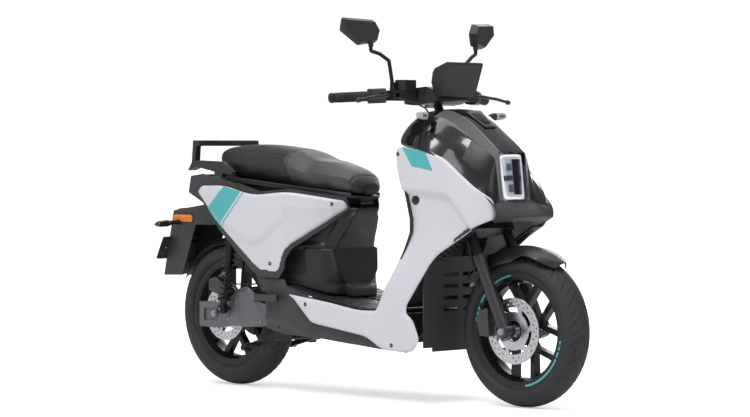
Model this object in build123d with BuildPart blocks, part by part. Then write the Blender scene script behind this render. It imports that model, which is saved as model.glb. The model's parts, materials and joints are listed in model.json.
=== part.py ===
from build123d import *
import math
import os

os.makedirs("parts", exist_ok=True)

# Frame: +X forward, +Y the rider's left, +Z up. The origin is on the ground, on the centre
# plane, midway between the axles. All sizes are millimetres.

# ---- Driving dimensions -------------------------------------------------------------------
WHEELBASE = 1365
FRONT_R = 255
FRONT_HALF = 52
REAR_R = 262
REAR_HALF = 57
RIM_SEAT = 178
RAKE = 25
FORK_U = 30
AXLE_U = 42
LEG_Y = 92
LEG_R = 21
STANCHION_R = 16.5
SLIDE_GAP = 0.05
PIVOT_X = -340
PIVOT_Z = 262
SHOCK_Y = 150
SHOCK_TOP = (-560, 590)
SHOCK_LOW = (-613, 282)
SKIN = 5
RAIL_HOLE_R = 3.3
PLATE_HOLES = 180
PLATE_HOLE_R = 3.3
MIRROR_ROOT = (247, -180)
BUTTON_OUT = 6

FRONT_X = WHEELBASE / 2
REAR_X = -WHEELBASE / 2
SIN_RAKE = math.sin(math.radians(RAKE))
COS_RAKE = math.cos(math.radians(RAKE))

# Steering frame: local X is forward across the axis, local Z runs up the steering axis, and its
# origin is level with the front axle along the axis.
STEER = Plane(
    origin=(FRONT_X - AXLE_U * COS_RAKE, 0, FRONT_R - AXLE_U * SIN_RAKE),
    x_dir=(COS_RAKE, 0, SIN_RAKE),
    z_dir=(-SIN_RAKE, 0, COS_RAKE),
)
CLAMP_LOW = 362
HEAD_LOW = 402
HEAD_HIGH = 600
BAR_W = 870


# ---- Helpers ------------------------------------------------------------------------------
def side_face(points, y, radius=0):
    """Side-view outline (X, Z) at height y, facing the rider's right, so it extrudes to -Y."""
    with BuildSketch(Plane.XZ.offset(-y)) as outline:
        with BuildLine():
            if radius:
                FilletPolyline(*points, radius=radius, close=True)
            else:
                Polyline(*points, close=True)
        make_face()
    return outline.sketch


def plan_face(points, z, radius=0):
    """Plan-view outline (X, Y) at height z, which extrudes upwards."""
    with BuildSketch(Plane.XY.offset(z)) as outline:
        with BuildLine():
            if radius:
                FilletPolyline(*points, radius=radius, close=True)
            else:
                Polyline(*points, close=True)
        make_face()
    return outline.sketch


def front_face(points, x, radius=0):
    """Front-view outline (Y, Z) at length x, which extrudes forwards."""
    with BuildSketch(Plane.YZ.offset(x)) as outline:
        with BuildLine():
            if radius:
                FilletPolyline(*points, radius=radius, close=True)
            else:
                Polyline(*points, close=True)
        make_face()
    return outline.sketch


def mirrored(half):
    """Closed outline from one half, given from front to rear on the +Y side."""
    return half + [(x, -y) for x, y in reversed(half)]


def bar(points, radius, bend=0, mode=Mode.ADD):
    """Round bar swept along a path of straight runs, bent at its corners."""
    with BuildLine() as path:
        if bend:
            FilletPolyline(*points, radius=bend)
        else:
            Polyline(*points)
    start = Plane(origin=path.line @ 0, z_dir=path.line % 0)
    with BuildSketch(start) as section:
        Circle(radius)
    sweep(section.sketch, path=path.line, transition=Transition.ROUND, mode=mode)


def disc_y(x, z, y_low, y_high, radius, hole=0, mode=Mode.ADD):
    """Round piece about an axis along Y, from y_low to y_high."""
    with BuildSketch(Plane(origin=(x, y_high, z), x_dir=(1, 0, 0), z_dir=(0, -1, 0))) as face:
        Circle(radius)
        if hole:
            Circle(hole, mode=Mode.SUBTRACT)
    extrude(face.sketch, amount=y_high - y_low, mode=mode)


def band(points, thickness):
    """Thin plan-view strip: the outer line, and the same line moved inwards, as one face."""
    inner = [(x, y + thickness) for x, y in reversed(points)]
    return points + inner


def export(piece, name):
    """Label a finished piece and write it as a STEP file of the same name."""
    piece.part.label = name
    export_step(piece.part, f"parts/{name}.step")


# ---- Wheels -------------------------------------------------------------------------------
def tyre_section(plane_x, tyre_r, half, bead):
    """Tyre cross-section in the vertical plane through the axle, above the axle."""
    wall = 7
    with BuildSketch(Plane.YZ.offset(plane_x)) as section:
        with BuildLine():
            seat_r = RIM_SEAT + 0.5
            lip_r = RIM_SEAT + 13
            belly_r = tyre_r * 0.42 + RIM_SEAT * 0.58
            Polyline((0, tyre_r - wall - 2), (0, tyre_r))
            Spline((0, tyre_r), (half, belly_r), (bead, lip_r), tangents=[(1, 0), (-0.8, -1)])
            Polyline((bead, lip_r), (bead, seat_r), (bead - wall, seat_r), (bead - wall, lip_r))
            Spline((bead - wall, lip_r), (half - wall, belly_r), (0, tyre_r - wall - 2),
                   tangents=[(0.6, 1), (-1, 0)])
        make_face()
        mirror(about=Plane.YZ)
    return section.sketch


def make_tyre(x, z, tyre_r, half, bead):
    """Tyre on its axle centre: the section revolved about the axle."""
    section = Pos(0, 0, z) * tyre_section(x, tyre_r, half, bead)
    revolve(section, axis=Axis((x, 0, z), (0, 1, 0)), revolution_arc=360)


def rim_section(x, z, half):
    """Rim barrel section with a raised flange at each side and a drop centre."""
    flange = RIM_SEAT + 11
    points = [
        (-half, RIM_SEAT - 9),
        (-half, flange),
        (-half + 5, flange),
        (-half + 6, RIM_SEAT),
        (-half + 20, RIM_SEAT - 2),
        (-half + 28, RIM_SEAT - 14),
        (half - 28, RIM_SEAT - 14),
        (half - 20, RIM_SEAT - 2),
        (half - 6, RIM_SEAT),
        (half - 5, flange),
        (half, flange),
        (half, RIM_SEAT - 9),
        (half - 24, RIM_SEAT - 20),
        (-half + 24, RIM_SEAT - 20),
    ]
    with BuildSketch(Plane.YZ.offset(x)) as section:
        with BuildLine():
            Polyline(*[(y, z + r) for y, r in points], close=True)
        make_face()
    return section.sketch


def polar(x, z, radius, angle):
    """Side-view point (X, Z) at a radius and an angle in degrees from +X about a centre."""
    turn = math.radians(angle)
    return (x + radius * math.cos(turn), z + radius * math.sin(turn))


def taper(start, end, start_width, end_width):
    """Four corners of a straight bar between two side-view points, with a width at each end."""
    run = Vector(end[0] - start[0], end[1] - start[1]).normalized()
    across = Vector(-run.Y, run.X)
    a = across * (start_width / 2)
    b = across * (end_width / 2)
    return [
        (start[0] - a.X, start[1] - a.Y),
        (end[0] - b.X, end[1] - b.Y),
        (end[0] + b.X, end[1] + b.Y),
        (start[0] + a.X, start[1] + a.Y),
    ]


def make_rim(x, z, half, hub_half, bearing_r, first_angle, spokes=5):
    """Cast rim: barrel, hub and split spokes, each a Y in the side view."""
    axle = Axis((x, 0, z), (0, 1, 0))
    barrel_r = RIM_SEAT - 16
    knot_r = 92
    spread = 21
    half_deep = 14
    revolve(rim_section(x, z, half), axis=axle, revolution_arc=360)
    disc_y(x, z, -hub_half, hub_half, 34)
    disc_y(x, z, -20, 20, 50)
    for index in range(spokes):
        angle = first_angle + index * 360 / spokes
        root = polar(x, z, 38, angle)
        knot = polar(x, z, knot_r, angle)
        extrude(side_face(taper(root, knot, 34, 26), half_deep), amount=2 * half_deep)
        for side in (-1, 1):
            start = polar(x, z, knot_r - 14, angle + side * 5)
            end = polar(x, z, barrel_r, angle + side * spread)
            extrude(side_face(taper(start, end, 17, 21), half_deep), amount=2 * half_deep)
    disc_y(x, z, -hub_half - 1, hub_half + 1, 16, mode=Mode.SUBTRACT)
    disc_y(x, z, hub_half - 12, hub_half + 1, bearing_r, mode=Mode.SUBTRACT)
    disc_y(x, z, -hub_half - 1, -hub_half + 12, bearing_r, mode=Mode.SUBTRACT)


def make_disc(x, z, y_low, y_high, radius, inner):
    """Brake disc with a carrier and rings of drilled holes."""
    disc_y(x, z, y_low, y_high, radius, inner)
    disc_y(x, z, y_low, y_high, inner - 14, 35)
    for index in range(6):
        angle = index * 60
        arm = taper(polar(x, z, inner - 18, angle), polar(x, z, inner + 4, angle + 14), 14, 14)
        extrude(side_face(arm, y_high), amount=y_high - y_low)
    for ring, (hole_r, count) in enumerate([(3, 24), (3, 24)]):
        ring_r = inner + (radius - inner) * (ring + 1) / 3
        place = Plane(origin=(x, y_high, z), x_dir=(1, 0, 0), z_dir=(0, -1, 0))
        with BuildSketch(place) as holes:
            with PolarLocations(ring_r, count, start_angle=ring * 180 / count):
                Circle(hole_r)
        extrude(holes.sketch, amount=y_high - y_low, mode=Mode.SUBTRACT)


BEARING_R = 20
FRONT_HUB = 52
REAR_HUB = 58
with BuildPart() as front_rim:
    make_rim(FRONT_X, FRONT_R, 40, FRONT_HUB, BEARING_R, 90)
export(front_rim, "front_rim")

with BuildPart() as rear_rim:
    make_rim(REAR_X, REAR_R, 43, REAR_HUB, BEARING_R, 54)
export(rear_rim, "rear_rim")

with BuildPart() as front_tyre:
    make_tyre(FRONT_X, FRONT_R, FRONT_R, FRONT_HALF, 33.8)
export(front_tyre, "front_tyre")

with BuildPart() as rear_tyre:
    make_tyre(REAR_X, REAR_R, REAR_R, REAR_HALF, 36.8)
export(rear_tyre, "rear_tyre")

AXLE_R = 7
with BuildPart() as front_bearings:
    for low in (-FRONT_HUB, FRONT_HUB - 12):
        disc_y(FRONT_X, FRONT_R, low, low + 12, BEARING_R, AXLE_R + SLIDE_GAP)
export(front_bearings, "front_bearings")

with BuildPart() as rear_bearings:
    for low in (-REAR_HUB, REAR_HUB - 12):
        disc_y(REAR_X, REAR_R, low, low + 12, BEARING_R, AXLE_R + SLIDE_GAP)
export(rear_bearings, "rear_bearings")

FRONT_DISC_Y = -62
REAR_DISC_Y = -70
with BuildPart() as front_disc:
    make_disc(FRONT_X, FRONT_R, FRONT_DISC_Y - 2, FRONT_DISC_Y + 2, 110, 78)
    disc_y(FRONT_X, FRONT_R, FRONT_DISC_Y + 2, -FRONT_HUB, 52, 36)
export(front_disc, "front_disc")

with BuildPart() as rear_disc:
    make_disc(REAR_X, REAR_R, REAR_DISC_Y - 2, REAR_DISC_Y + 2, 100, 68)
    disc_y(REAR_X, REAR_R, REAR_DISC_Y + 2, -REAR_HUB, 48, 36)
export(rear_disc, "rear_disc")

PULLEY_LOW = 80
PULLEY_HIGH = 96
REAR_PULLEY_R = 84
MOTOR_PULLEY_R = 28
with BuildPart() as rear_pulley:
    disc_y(REAR_X, REAR_R, PULLEY_LOW, PULLEY_HIGH, REAR_PULLEY_R, 62)
    disc_y(REAR_X, REAR_R, REAR_HUB, PULLEY_HIGH - 3, 40, 22)
    for index in range(5):
        angle = index * 72
        arm = taper(polar(REAR_X, REAR_R, 30, angle), polar(REAR_X, REAR_R, 68, angle), 22, 16)
        extrude(side_face(arm, PULLEY_HIGH - 3), amount=PULLEY_HIGH - PULLEY_LOW - 3)
    disc_y(REAR_X, REAR_R, REAR_HUB - 1, PULLEY_HIGH + 1, 22, mode=Mode.SUBTRACT)
export(rear_pulley, "rear_pulley")

# ---- Front suspension -----------------------------------------------------------------------
LEG_TOP = 275
LEG_FLOOR = 60
STANCHION_LOW = 130
CLAMP_T = 26
STEM_R = 15
BAR_R = 11


def steer_point(u, w, y=0):
    """Point in the object's frame from the steering frame: u forward, w up the axis."""
    origin = STEER.origin
    return (origin.X + u * COS_RAKE - w * SIN_RAKE, y, origin.Z + u * SIN_RAKE + w * COS_RAKE)


BAR_TOP = steer_point(0, BAR_W)
BAR_PATH = [
    (160, -385, 1024),
    (225, -255, 1031),
    (262, -95, 1026),
    BAR_TOP,
    (262, 95, 1026),
    (225, 255, 1031),
    (160, 385, 1024),
]

with BuildPart() as fork_lowers:
    for side in (-1, 1):
        with BuildSketch(STEER.offset(-22)):
            with Locations((FORK_U, side * LEG_Y)):
                Circle(LEG_R)
        extrude(amount=LEG_TOP + 22)
        with BuildSketch(STEER.offset(LEG_TOP - 34)):
            with Locations((FORK_U, side * LEG_Y)):
                Circle(LEG_R + 2)
        extrude(amount=34)
        foot_low = min(side * (LEG_Y - LEG_R + 2), side * (LEG_Y + 24))
        disc_y(FRONT_X, FRONT_R, foot_low, foot_low + 43, 18)
    for side in (-1, 1):
        with BuildSketch(STEER.offset(LEG_FLOOR)):
            with Locations((FORK_U, side * LEG_Y)):
                Circle(STANCHION_R + SLIDE_GAP)
        extrude(amount=LEG_TOP, mode=Mode.SUBTRACT)
    disc_y(FRONT_X, FRONT_R, -140, 140, AXLE_R, mode=Mode.SUBTRACT)
export(fork_lowers, "fork_lowers")

with BuildPart() as front_axle:
    disc_y(FRONT_X, FRONT_R, -LEG_Y - 26, LEG_Y + 26, AXLE_R)
    disc_y(FRONT_X, FRONT_R, LEG_Y + 24, LEG_Y + 33, 12)
    disc_y(FRONT_X, FRONT_R, -LEG_Y - 33, -LEG_Y - 24, 12)
    for low in (FRONT_HUB, LEG_R - LEG_Y):
        disc_y(FRONT_X, FRONT_R, low, low + LEG_Y - LEG_R - FRONT_HUB, 11)
export(front_axle, "front_axle")

with BuildPart() as handlebar:
    bar(BAR_PATH, BAR_R, bend=60)
    grip_start = Vector(225, 255, 1031)
    grip_end = Vector(160, 385, 1024)
    grip_run = (grip_end - grip_start).normalized()
    for mirror_side in (1, -1):
        tip = Vector(grip_end.X, grip_end.Y * mirror_side, grip_end.Z)
        run = Vector(grip_run.X, grip_run.Y * mirror_side, grip_run.Z)
        with BuildSketch(Plane(origin=tip - run * 10, z_dir=run)):
            Circle(15)
        extrude(amount=14)
export(handlebar, "handlebar")

with BuildPart() as left_grip:
    with BuildSketch(Plane(origin=grip_start + grip_run * 14, z_dir=grip_run)):
        Circle(17)
        Circle(BAR_R, mode=Mode.SUBTRACT)
    extrude(amount=118)
export(left_grip, "left_grip")

throttle_start = Vector(225, -255, 1031)
BUTTON_FACE = Plane(origin=(212, -222, 1034), x_dir=(0, 1, 0), z_dir=(-1, 0, 0))
SWITCH_FACE = Plane(origin=(212, 222, 1034), x_dir=(0, 1, 0), z_dir=(-1, 0, 0))
throttle_run = Vector(grip_run.X, -grip_run.Y, grip_run.Z)
with BuildPart() as throttle_grip:
    with BuildSketch(Plane(origin=throttle_start + throttle_run * 14, z_dir=throttle_run)):
        Circle(17)
        Circle(BAR_R + SLIDE_GAP, mode=Mode.SUBTRACT)
    extrude(amount=118)
export(throttle_grip, "throttle_grip")

with BuildPart() as steering_stem:
    clamp_half = [(58, LEG_Y - 16), (FORK_U + 20, LEG_Y + 24), (8, LEG_Y + 22), (-26, 30)]
    with BuildSketch(STEER.offset(CLAMP_LOW)):
        with BuildLine():
            FilletPolyline(*mirrored(clamp_half), radius=8, close=True)
        make_face()
    extrude(amount=CLAMP_T)
    with BuildSketch(STEER.offset(CLAMP_LOW)):
        Circle(STEM_R)
    extrude(amount=BAR_W - CLAMP_LOW - 10)
    with BuildSketch(STEER.offset(BAR_W - 24)):
        Rectangle(54, 70)
    extrude(amount=48)
    for side in (-1, 1):
        with BuildSketch(STEER.offset(STANCHION_LOW)):
            with Locations((FORK_U, side * LEG_Y)):
                Circle(STANCHION_R)
        extrude(amount=CLAMP_LOW + CLAMP_T + 10 - STANCHION_LOW)
    add(handlebar.part, mode=Mode.SUBTRACT)
export(steering_stem, "steering_stem")

with BuildPart() as steering_bearings:
    for level in (HEAD_LOW, HEAD_HIGH - 16):
        with BuildSketch(STEER.offset(level)):
            Circle(24)
            Circle(STEM_R + SLIDE_GAP, mode=Mode.SUBTRACT)
        extrude(amount=16)
export(steering_bearings, "steering_bearings")

FENDER_R = 269
with BuildPart() as front_fender:
    start = Plane.YZ.offset(FRONT_X)
    with BuildSketch(start) as crown:
        with BuildLine():
            edge = FRONT_R + 235
            top = FRONT_R + FENDER_R
            ThreePointArc((-68, edge), (0, top + 8), (68, edge))
            Line((68, edge), (64, edge))
            ThreePointArc((64, edge), (0, top + 4), (-64, edge))
            Line((-64, edge), (-68, edge))
        make_face()
    axle_axis = Axis((FRONT_X, 0, FRONT_R), (0, 1, 0))
    revolve(crown.sketch, axis=axle_axis, revolution_arc=34)
    revolve(crown.sketch, axis=Axis((FRONT_X, 0, FRONT_R), (0, -1, 0)), revolution_arc=40)
    flap = [(585, 492), (594, 447), (640, 345), (664, 337), (700, 352), (712, 440), (712, 490)]
    for low in (-69, 66):
        extrude(side_face(flap, low + 3, radius=6), amount=3)
export(front_fender, "front_fender")

with BuildPart() as front_caliper:
    body = [(600, 232), (592, 330), (556, 322), (545, 290), (556, 236)]
    extrude(side_face(body, -44, radius=8), amount=46)
    disc_y(FRONT_X, FRONT_R, FRONT_DISC_Y - 4, FRONT_DISC_Y + 4, 114, mode=Mode.SUBTRACT)
    add(fork_lowers.part, mode=Mode.SUBTRACT)
export(front_caliper, "front_caliper")

# ---- Frame ----------------------------------------------------------------------------------
RAIL_Y = 118
RAIL_R = 12
PLATE_LOW = 124
PLATE_HIGH = 134
PIVOT_R = 10
STAND_X = -343
STAND_Z = 202
PEG_X = -383
PEG_Z = 334
PEG_Y = 208
SIDE_STAND = (-262, 137, 206)
STAND_AXIS = Plane(origin=SIDE_STAND, x_dir=(1, 0.316, 0), z_dir=(-0.3, 0.95, 0))
with BuildPart() as main_frame:
    with BuildSketch(STEER.offset(HEAD_LOW)):
        Circle(30)
    extrude(amount=HEAD_HIGH - HEAD_LOW)
    head = steer_point(-14, HEAD_LOW + 40)
    for side in (-1, 1):
        y = side * RAIL_Y
        bar([(head[0], side * 12, head[2]), (356, side * 60, 462), (330, y, 235), (280, y, 212),
             (-225, y, 212), (-262, y, 300), (-300, y, 470), (-700, side * 100, 640)],
            RAIL_R, bend=30)
        plate = [(-262, 330), (-268, 214), (-300, 184), (-366, 184), (-384, 240), (-384, 300),
                 (-340, 340), (-290, 420), (-272, 420)]
        low = min(side * PLATE_LOW, side * PLATE_HIGH)
        extrude(side_face(plate, low + 10, radius=5), amount=10)
        pin_low = min(side * 101, side * PLATE_HIGH)
        disc_y(PIVOT_X, PIVOT_Z, pin_low, pin_low + PLATE_HIGH - 101, PIVOT_R)
        stand_low = min(side * 104, side * PLATE_HIGH)
        disc_y(STAND_X, STAND_Z, stand_low, stand_low + PLATE_HIGH - 104, 6)
        peg_low = min(side * PLATE_LOW, side * 194)
        disc_y(PEG_X + 6, PEG_Z + 8, peg_low, peg_low + 194 - PLATE_LOW, 11)
        for level in (PEG_Z - 16, PEG_Z + 12):
            lug = [(PEG_X - 9, side * 190), (PEG_X + 9, side * 190), (PEG_X + 9, side * PEG_Y),
                   (PEG_X, side * (PEG_Y + 9)), (PEG_X - 9, side * PEG_Y)]
            extrude(plan_face(lug if side > 0 else lug[::-1], level), amount=4)
        with BuildSketch(Plane.XY.offset(PEG_Z - 14)):
            with Locations((PEG_X, side * PEG_Y)):
                Circle(4)
        extrude(amount=28)
    with BuildSketch(STAND_AXIS.offset(-12)):
        Circle(5)
    extrude(amount=26)
    for x, z, radius in ((300, 212, 10), (-200, 212, 10), (-560, 580, 9)):
        disc_y(x, z, -108, 108, radius)
    plate_link = [(-384, 296), (-384, 352), (-360, 352), (-340, 320)]
    for low in (-PLATE_HIGH, PLATE_LOW):
        extrude(side_face(plate_link, low + 10), amount=10)
    for side in (-1, 1):
        low = min(side * 90, side * (SHOCK_Y + 22))
        disc_y(SHOCK_TOP[0], SHOCK_TOP[1], low, low + SHOCK_Y - 68, 7)
    with BuildSketch(STEER.offset(HEAD_LOW - 1)):
        Circle(24)
    extrude(amount=HEAD_HIGH - HEAD_LOW + 2, mode=Mode.SUBTRACT)
export(main_frame, "main_frame")

BATTERY = (-170, 240, 95, 212, 296)
with BuildPart() as battery_pack:
    low_x, high_x, half_y, low_z, high_z = BATTERY
    corners = [(low_x, -half_y), (high_x, -half_y), (high_x, half_y), (low_x, half_y)]
    extrude(plan_face(corners, low_z, radius=10), amount=high_z - low_z)
export(battery_pack, "battery_pack")

# ---- Motor and drive --------------------------------------------------------------------------
MOTOR_R = 60
ROTOR_R = 12
with BuildPart() as motor:
    disc_y(PIVOT_X, PIVOT_Z, -62, 62, MOTOR_R)
    for index in range(16):
        fin = taper(polar(PIVOT_X, PIVOT_Z, 50, index * 22.5),
                    polar(PIVOT_X, PIVOT_Z, 64, index * 22.5), 4, 4)
        extrude(side_face(fin, 50), amount=100)
    disc_y(PIVOT_X, PIVOT_Z, -46, 63, ROTOR_R + SLIDE_GAP, mode=Mode.SUBTRACT)
    feet = [(-300, 226), (-262, 226), (-262, 206), (-300, 206)]
    extrude(side_face(feet, 106), amount=212)
    add(main_frame.part, mode=Mode.SUBTRACT)
export(motor, "motor")

with BuildPart() as motor_pulley:
    disc_y(PIVOT_X, PIVOT_Z, -45, 98, ROTOR_R)
    disc_y(PIVOT_X, PIVOT_Z, PULLEY_LOW, PULLEY_HIGH, MOTOR_PULLEY_R)
export(motor_pulley, "motor_pulley")

BELT_LOW = PULLEY_LOW + 2
BELT_HIGH = PULLEY_HIGH - 2
BELT_T = 5
with BuildPart() as drive_belt:
    span = PIVOT_X - REAR_X
    lean = math.asin((REAR_PULLEY_R - MOTOR_PULLEY_R) / span)
    cos_lean = math.cos(lean)
    sin_lean = math.sin(lean)
    for grow, fit_mode in ((BELT_T, Mode.ADD), (0.02, Mode.SUBTRACT)):
        big = REAR_PULLEY_R + grow
        small = MOTOR_PULLEY_R + grow
        disc_y(REAR_X, REAR_R, BELT_LOW, BELT_HIGH, big, mode=fit_mode)
        disc_y(PIVOT_X, PIVOT_Z, BELT_LOW, BELT_HIGH, small, mode=fit_mode)
        runs = [
            (REAR_X + big * sin_lean, REAR_R + big * cos_lean),
            (PIVOT_X + small * sin_lean, PIVOT_Z + small * cos_lean),
            (PIVOT_X + small * sin_lean, PIVOT_Z - small * cos_lean),
            (REAR_X + big * sin_lean, REAR_R - big * cos_lean),
        ]
        extrude(side_face(runs, BELT_HIGH), amount=BELT_HIGH - BELT_LOW, mode=fit_mode)
export(drive_belt, "drive_belt")

# ---- Rear suspension ----------------------------------------------------------------------------
ARM_LOW = 101
ARM_HIGH = 122
ARM = [
    (-330, 290), (-376, 300), (-435, 306), (-492, 325), (-600, 322), (-648, 303), (-765, 303),
    (-765, 212), (-660, 212), (-560, 232), (-451, 222), (-376, 234), (-330, 236), (-312, 262),
]
with BuildPart() as swingarm:
    for side in (-1, 1):
        inner = min(side * ARM_LOW, side * ARM_HIGH)
        extrude(side_face(ARM, inner + ARM_HIGH - ARM_LOW, radius=7), amount=ARM_HIGH - ARM_LOW)
        window = [(-742, 280), (-668, 280), (-668, 236), (-742, 236)]
        recess = min(side * (ARM_HIGH - 7), side * (ARM_HIGH + 1))
        extrude(side_face(window, recess + 8, radius=4), amount=8, mode=Mode.SUBTRACT)
        stud_low = min(side * ARM_HIGH, side * (SHOCK_Y + 18))
        disc_y(SHOCK_LOW[0], SHOCK_LOW[1], stud_low, stud_low + SHOCK_Y + 18 - ARM_HIGH, 6)
    disc_y(-380, 342, -ARM_HIGH, ARM_HIGH, 13)
    for side in (-1, 1):
        inner = min(side * ARM_LOW, side * ARM_HIGH)
        web = [(-362, 296), (-362, 350), (-398, 350), (-420, 302)]
        extrude(side_face(web, inner + ARM_HIGH - ARM_LOW, radius=5), amount=ARM_HIGH - ARM_LOW)
    disc_y(PIVOT_X, PIVOT_Z, -ARM_HIGH - 1, ARM_HIGH + 1, PIVOT_R + SLIDE_GAP, mode=Mode.SUBTRACT)
    disc_y(REAR_X, REAR_R, -ARM_HIGH - 1, ARM_HIGH + 1, AXLE_R, mode=Mode.SUBTRACT)
export(swingarm, "swingarm")

with BuildPart() as rear_axle:
    disc_y(REAR_X, REAR_R, -ARM_HIGH - 4, ARM_HIGH + 4, AXLE_R)
    for low in (-ARM_HIGH + 7 - 10, ARM_HIGH - 7):
        disc_y(REAR_X, REAR_R, low, low + 10, 13)
    for low in (REAR_HUB, -ARM_LOW):
        disc_y(REAR_X, REAR_R, low, low + ARM_LOW - REAR_HUB, 11)
export(rear_axle, "rear_axle")

with BuildPart() as rear_caliper:
    body = [(-640, 300), (-640, 352), (-700, 392), (-738, 384), (-738, 344), (-690, 330),
            (-690, 300)]
    extrude(side_face(body, -50, radius=7), amount=ARM_LOW - 50)
    disc_y(REAR_X, REAR_R, REAR_DISC_Y - 4, REAR_DISC_Y + 4, 104, mode=Mode.SUBTRACT)
    disc_y(REAR_X, REAR_R, REAR_DISC_Y, -50, 62, mode=Mode.SUBTRACT)
    disc_y(REAR_X, REAR_R, -ARM_LOW, -50, 60, mode=Mode.SUBTRACT)
export(rear_caliper, "rear_caliper")

with BuildPart() as hugger:
    with BuildSketch(Plane.YZ.offset(REAR_X)) as crown:
        with BuildLine():
            edge = REAR_R + 246
            ThreePointArc((-66, edge), (0, REAR_R + 277), (66, edge))
            Line((66, edge), (63, edge))
            ThreePointArc((63, edge), (0, REAR_R + 274), (-63, edge))
            Line((-63, edge), (-66, edge))
        make_face()
    revolve(crown.sketch, axis=Axis((REAR_X, 0, REAR_R), (0, -1, 0)), revolution_arc=62)
    revolve(crown.sketch, axis=Axis((REAR_X, 0, REAR_R), (0, 1, 0)), revolution_arc=32)
    for side in (-1, 1):
        bar([(-590, side * 64.5, 496), (-560, side * 112, 320)], 5)
    add(swingarm.part, mode=Mode.SUBTRACT)
export(hugger, "hugger")

SHOCK_RUN = Vector(SHOCK_LOW[0] - SHOCK_TOP[0], 0, SHOCK_LOW[1] - SHOCK_TOP[1])
SHOCK_LENGTH = SHOCK_RUN.length
SHOCK_DOWN = SHOCK_RUN.normalized()
EYE_GAP = 3.2


def shock_plane(along, side):
    """Plane across a shock, at a distance along it below the upper eye."""
    top = Vector(SHOCK_TOP[0], side * SHOCK_Y, SHOCK_TOP[1])
    return Plane(origin=top + SHOCK_DOWN * along, x_dir=(0, 1, 0), z_dir=SHOCK_DOWN)


with BuildPart() as shock_bodies:
    for side in (-1, 1):
        disc_y(SHOCK_TOP[0], SHOCK_TOP[1], side * SHOCK_Y - 11, side * SHOCK_Y + 11, 17)
        with BuildSketch(shock_plane(10, side)):
            Circle(15)
        extrude(amount=150)
        with BuildSketch(shock_plane(24, side)):
            Circle(23)
        extrude(amount=8)
        with BuildSketch(shock_plane(40, side)):
            Circle(6 + SLIDE_GAP)
        extrude(amount=140, mode=Mode.SUBTRACT)
        low = side * SHOCK_Y - 12
        disc_y(SHOCK_TOP[0], SHOCK_TOP[1], low, low + 24, 7 + SLIDE_GAP, mode=Mode.SUBTRACT)
export(shock_bodies, "shock_bodies")

with BuildPart() as shock_rods:
    for side in (-1, 1):
        low = side * SHOCK_Y - 11
        disc_y(SHOCK_LOW[0], SHOCK_LOW[1], low, low + 22, 18)
        with BuildSketch(shock_plane(110, side)):
            Circle(6)
        extrude(amount=SHOCK_LENGTH - 116)
        with BuildSketch(shock_plane(SHOCK_LENGTH - 40, side)):
            Circle(23)
        extrude(amount=8)
        with BuildSketch(shock_plane(SHOCK_LENGTH - 34, side)):
            Circle(12)
        extrude(amount=26)
        disc_y(SHOCK_LOW[0], SHOCK_LOW[1], low - 1, low + 23, 6 + EYE_GAP, mode=Mode.SUBTRACT)
export(shock_rods, "shock_rods")

SPRING_START = 32
SPRING_END = SHOCK_LENGTH - 40
SPRING_R = 19
WIRE_R = 3.5
with BuildPart() as shock_springs:
    for side in (-1, 1):
        top = shock_plane(SPRING_START + WIRE_R + 0.1, side)
        height = SPRING_END - SPRING_START - 2 * WIRE_R - 0.2
        with BuildLine() as coil:
            Helix(height / 12, height, SPRING_R, center=top.origin, direction=SHOCK_DOWN)
        with BuildSketch(Plane(origin=coil.line @ 0, z_dir=coil.line % 0)) as wire:
            Circle(WIRE_R)
        sweep(wire.sketch, path=coil.line, is_frenet=True)
export(shock_springs, "shock_springs")


# ---- Body panels --------------------------------------------------------------------------------
def side_panel(line, thickness, outline, low, high, radius=0):
    """Right-hand panel: a thin wall that follows a plan line, cut to a side-view outline."""
    extrude(plan_face(band(line, thickness), low), amount=high - low)
    extrude(side_face(outline, 0, radius=radius), amount=300, mode=Mode.INTERSECT)


SHIELD_LINE = [
    (-260, -211), (150, -214), (340, -212), (480, -203), (605, -189), (668, -148), (700, -110),
]
SHIELD = [
    (291, 857), (330, 861), (428, 842), (486, 829), (592, 739), (672, 674), (676, 628),
    (602, 593), (459, 503), (432, 475), (340, 333), (338, 306), (368, 283), (396, 217),
    (368, 178), (300, 175), (222, 180), (155, 220), (-83, 252), (-114, 259), (-195, 334),
    (-222, 350), (-38, 330), (117, 307), (198, 309), (209, 325), (265, 423), (317, 520),
    (342, 576), (342, 621), (324, 690), (295, 784),
]
with BuildPart() as shield_panels:
    side_panel(SHIELD_LINE, SKIN, SHIELD, 150, 900, radius=4)
    mirror(about=Plane.XZ)
export(shield_panels, "shield_panels")

REAR_LINE = [
    (-40, -70), (-62, -86), (-150, -142), (-262, -197), (-350, -203), (-580, -190), (-800, -156),
]
REAR_PANEL = [
    (-61, 649), (-70, 674), (-167, 692), (-247, 704), (-376, 693), (-436, 697), (-560, 724),
    (-690, 722), (-722, 699), (-580, 573), (-406, 442), (-377, 426), (-296, 421), (-281, 439),
    (-272, 474), (-244, 520), (-131, 596),
]
with BuildPart() as side_panels:
    side_panel(REAR_LINE, SKIN, REAR_PANEL, 380, 800, radius=5)
    mirror(about=Plane.XZ)
export(side_panels, "side_panels")

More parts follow.
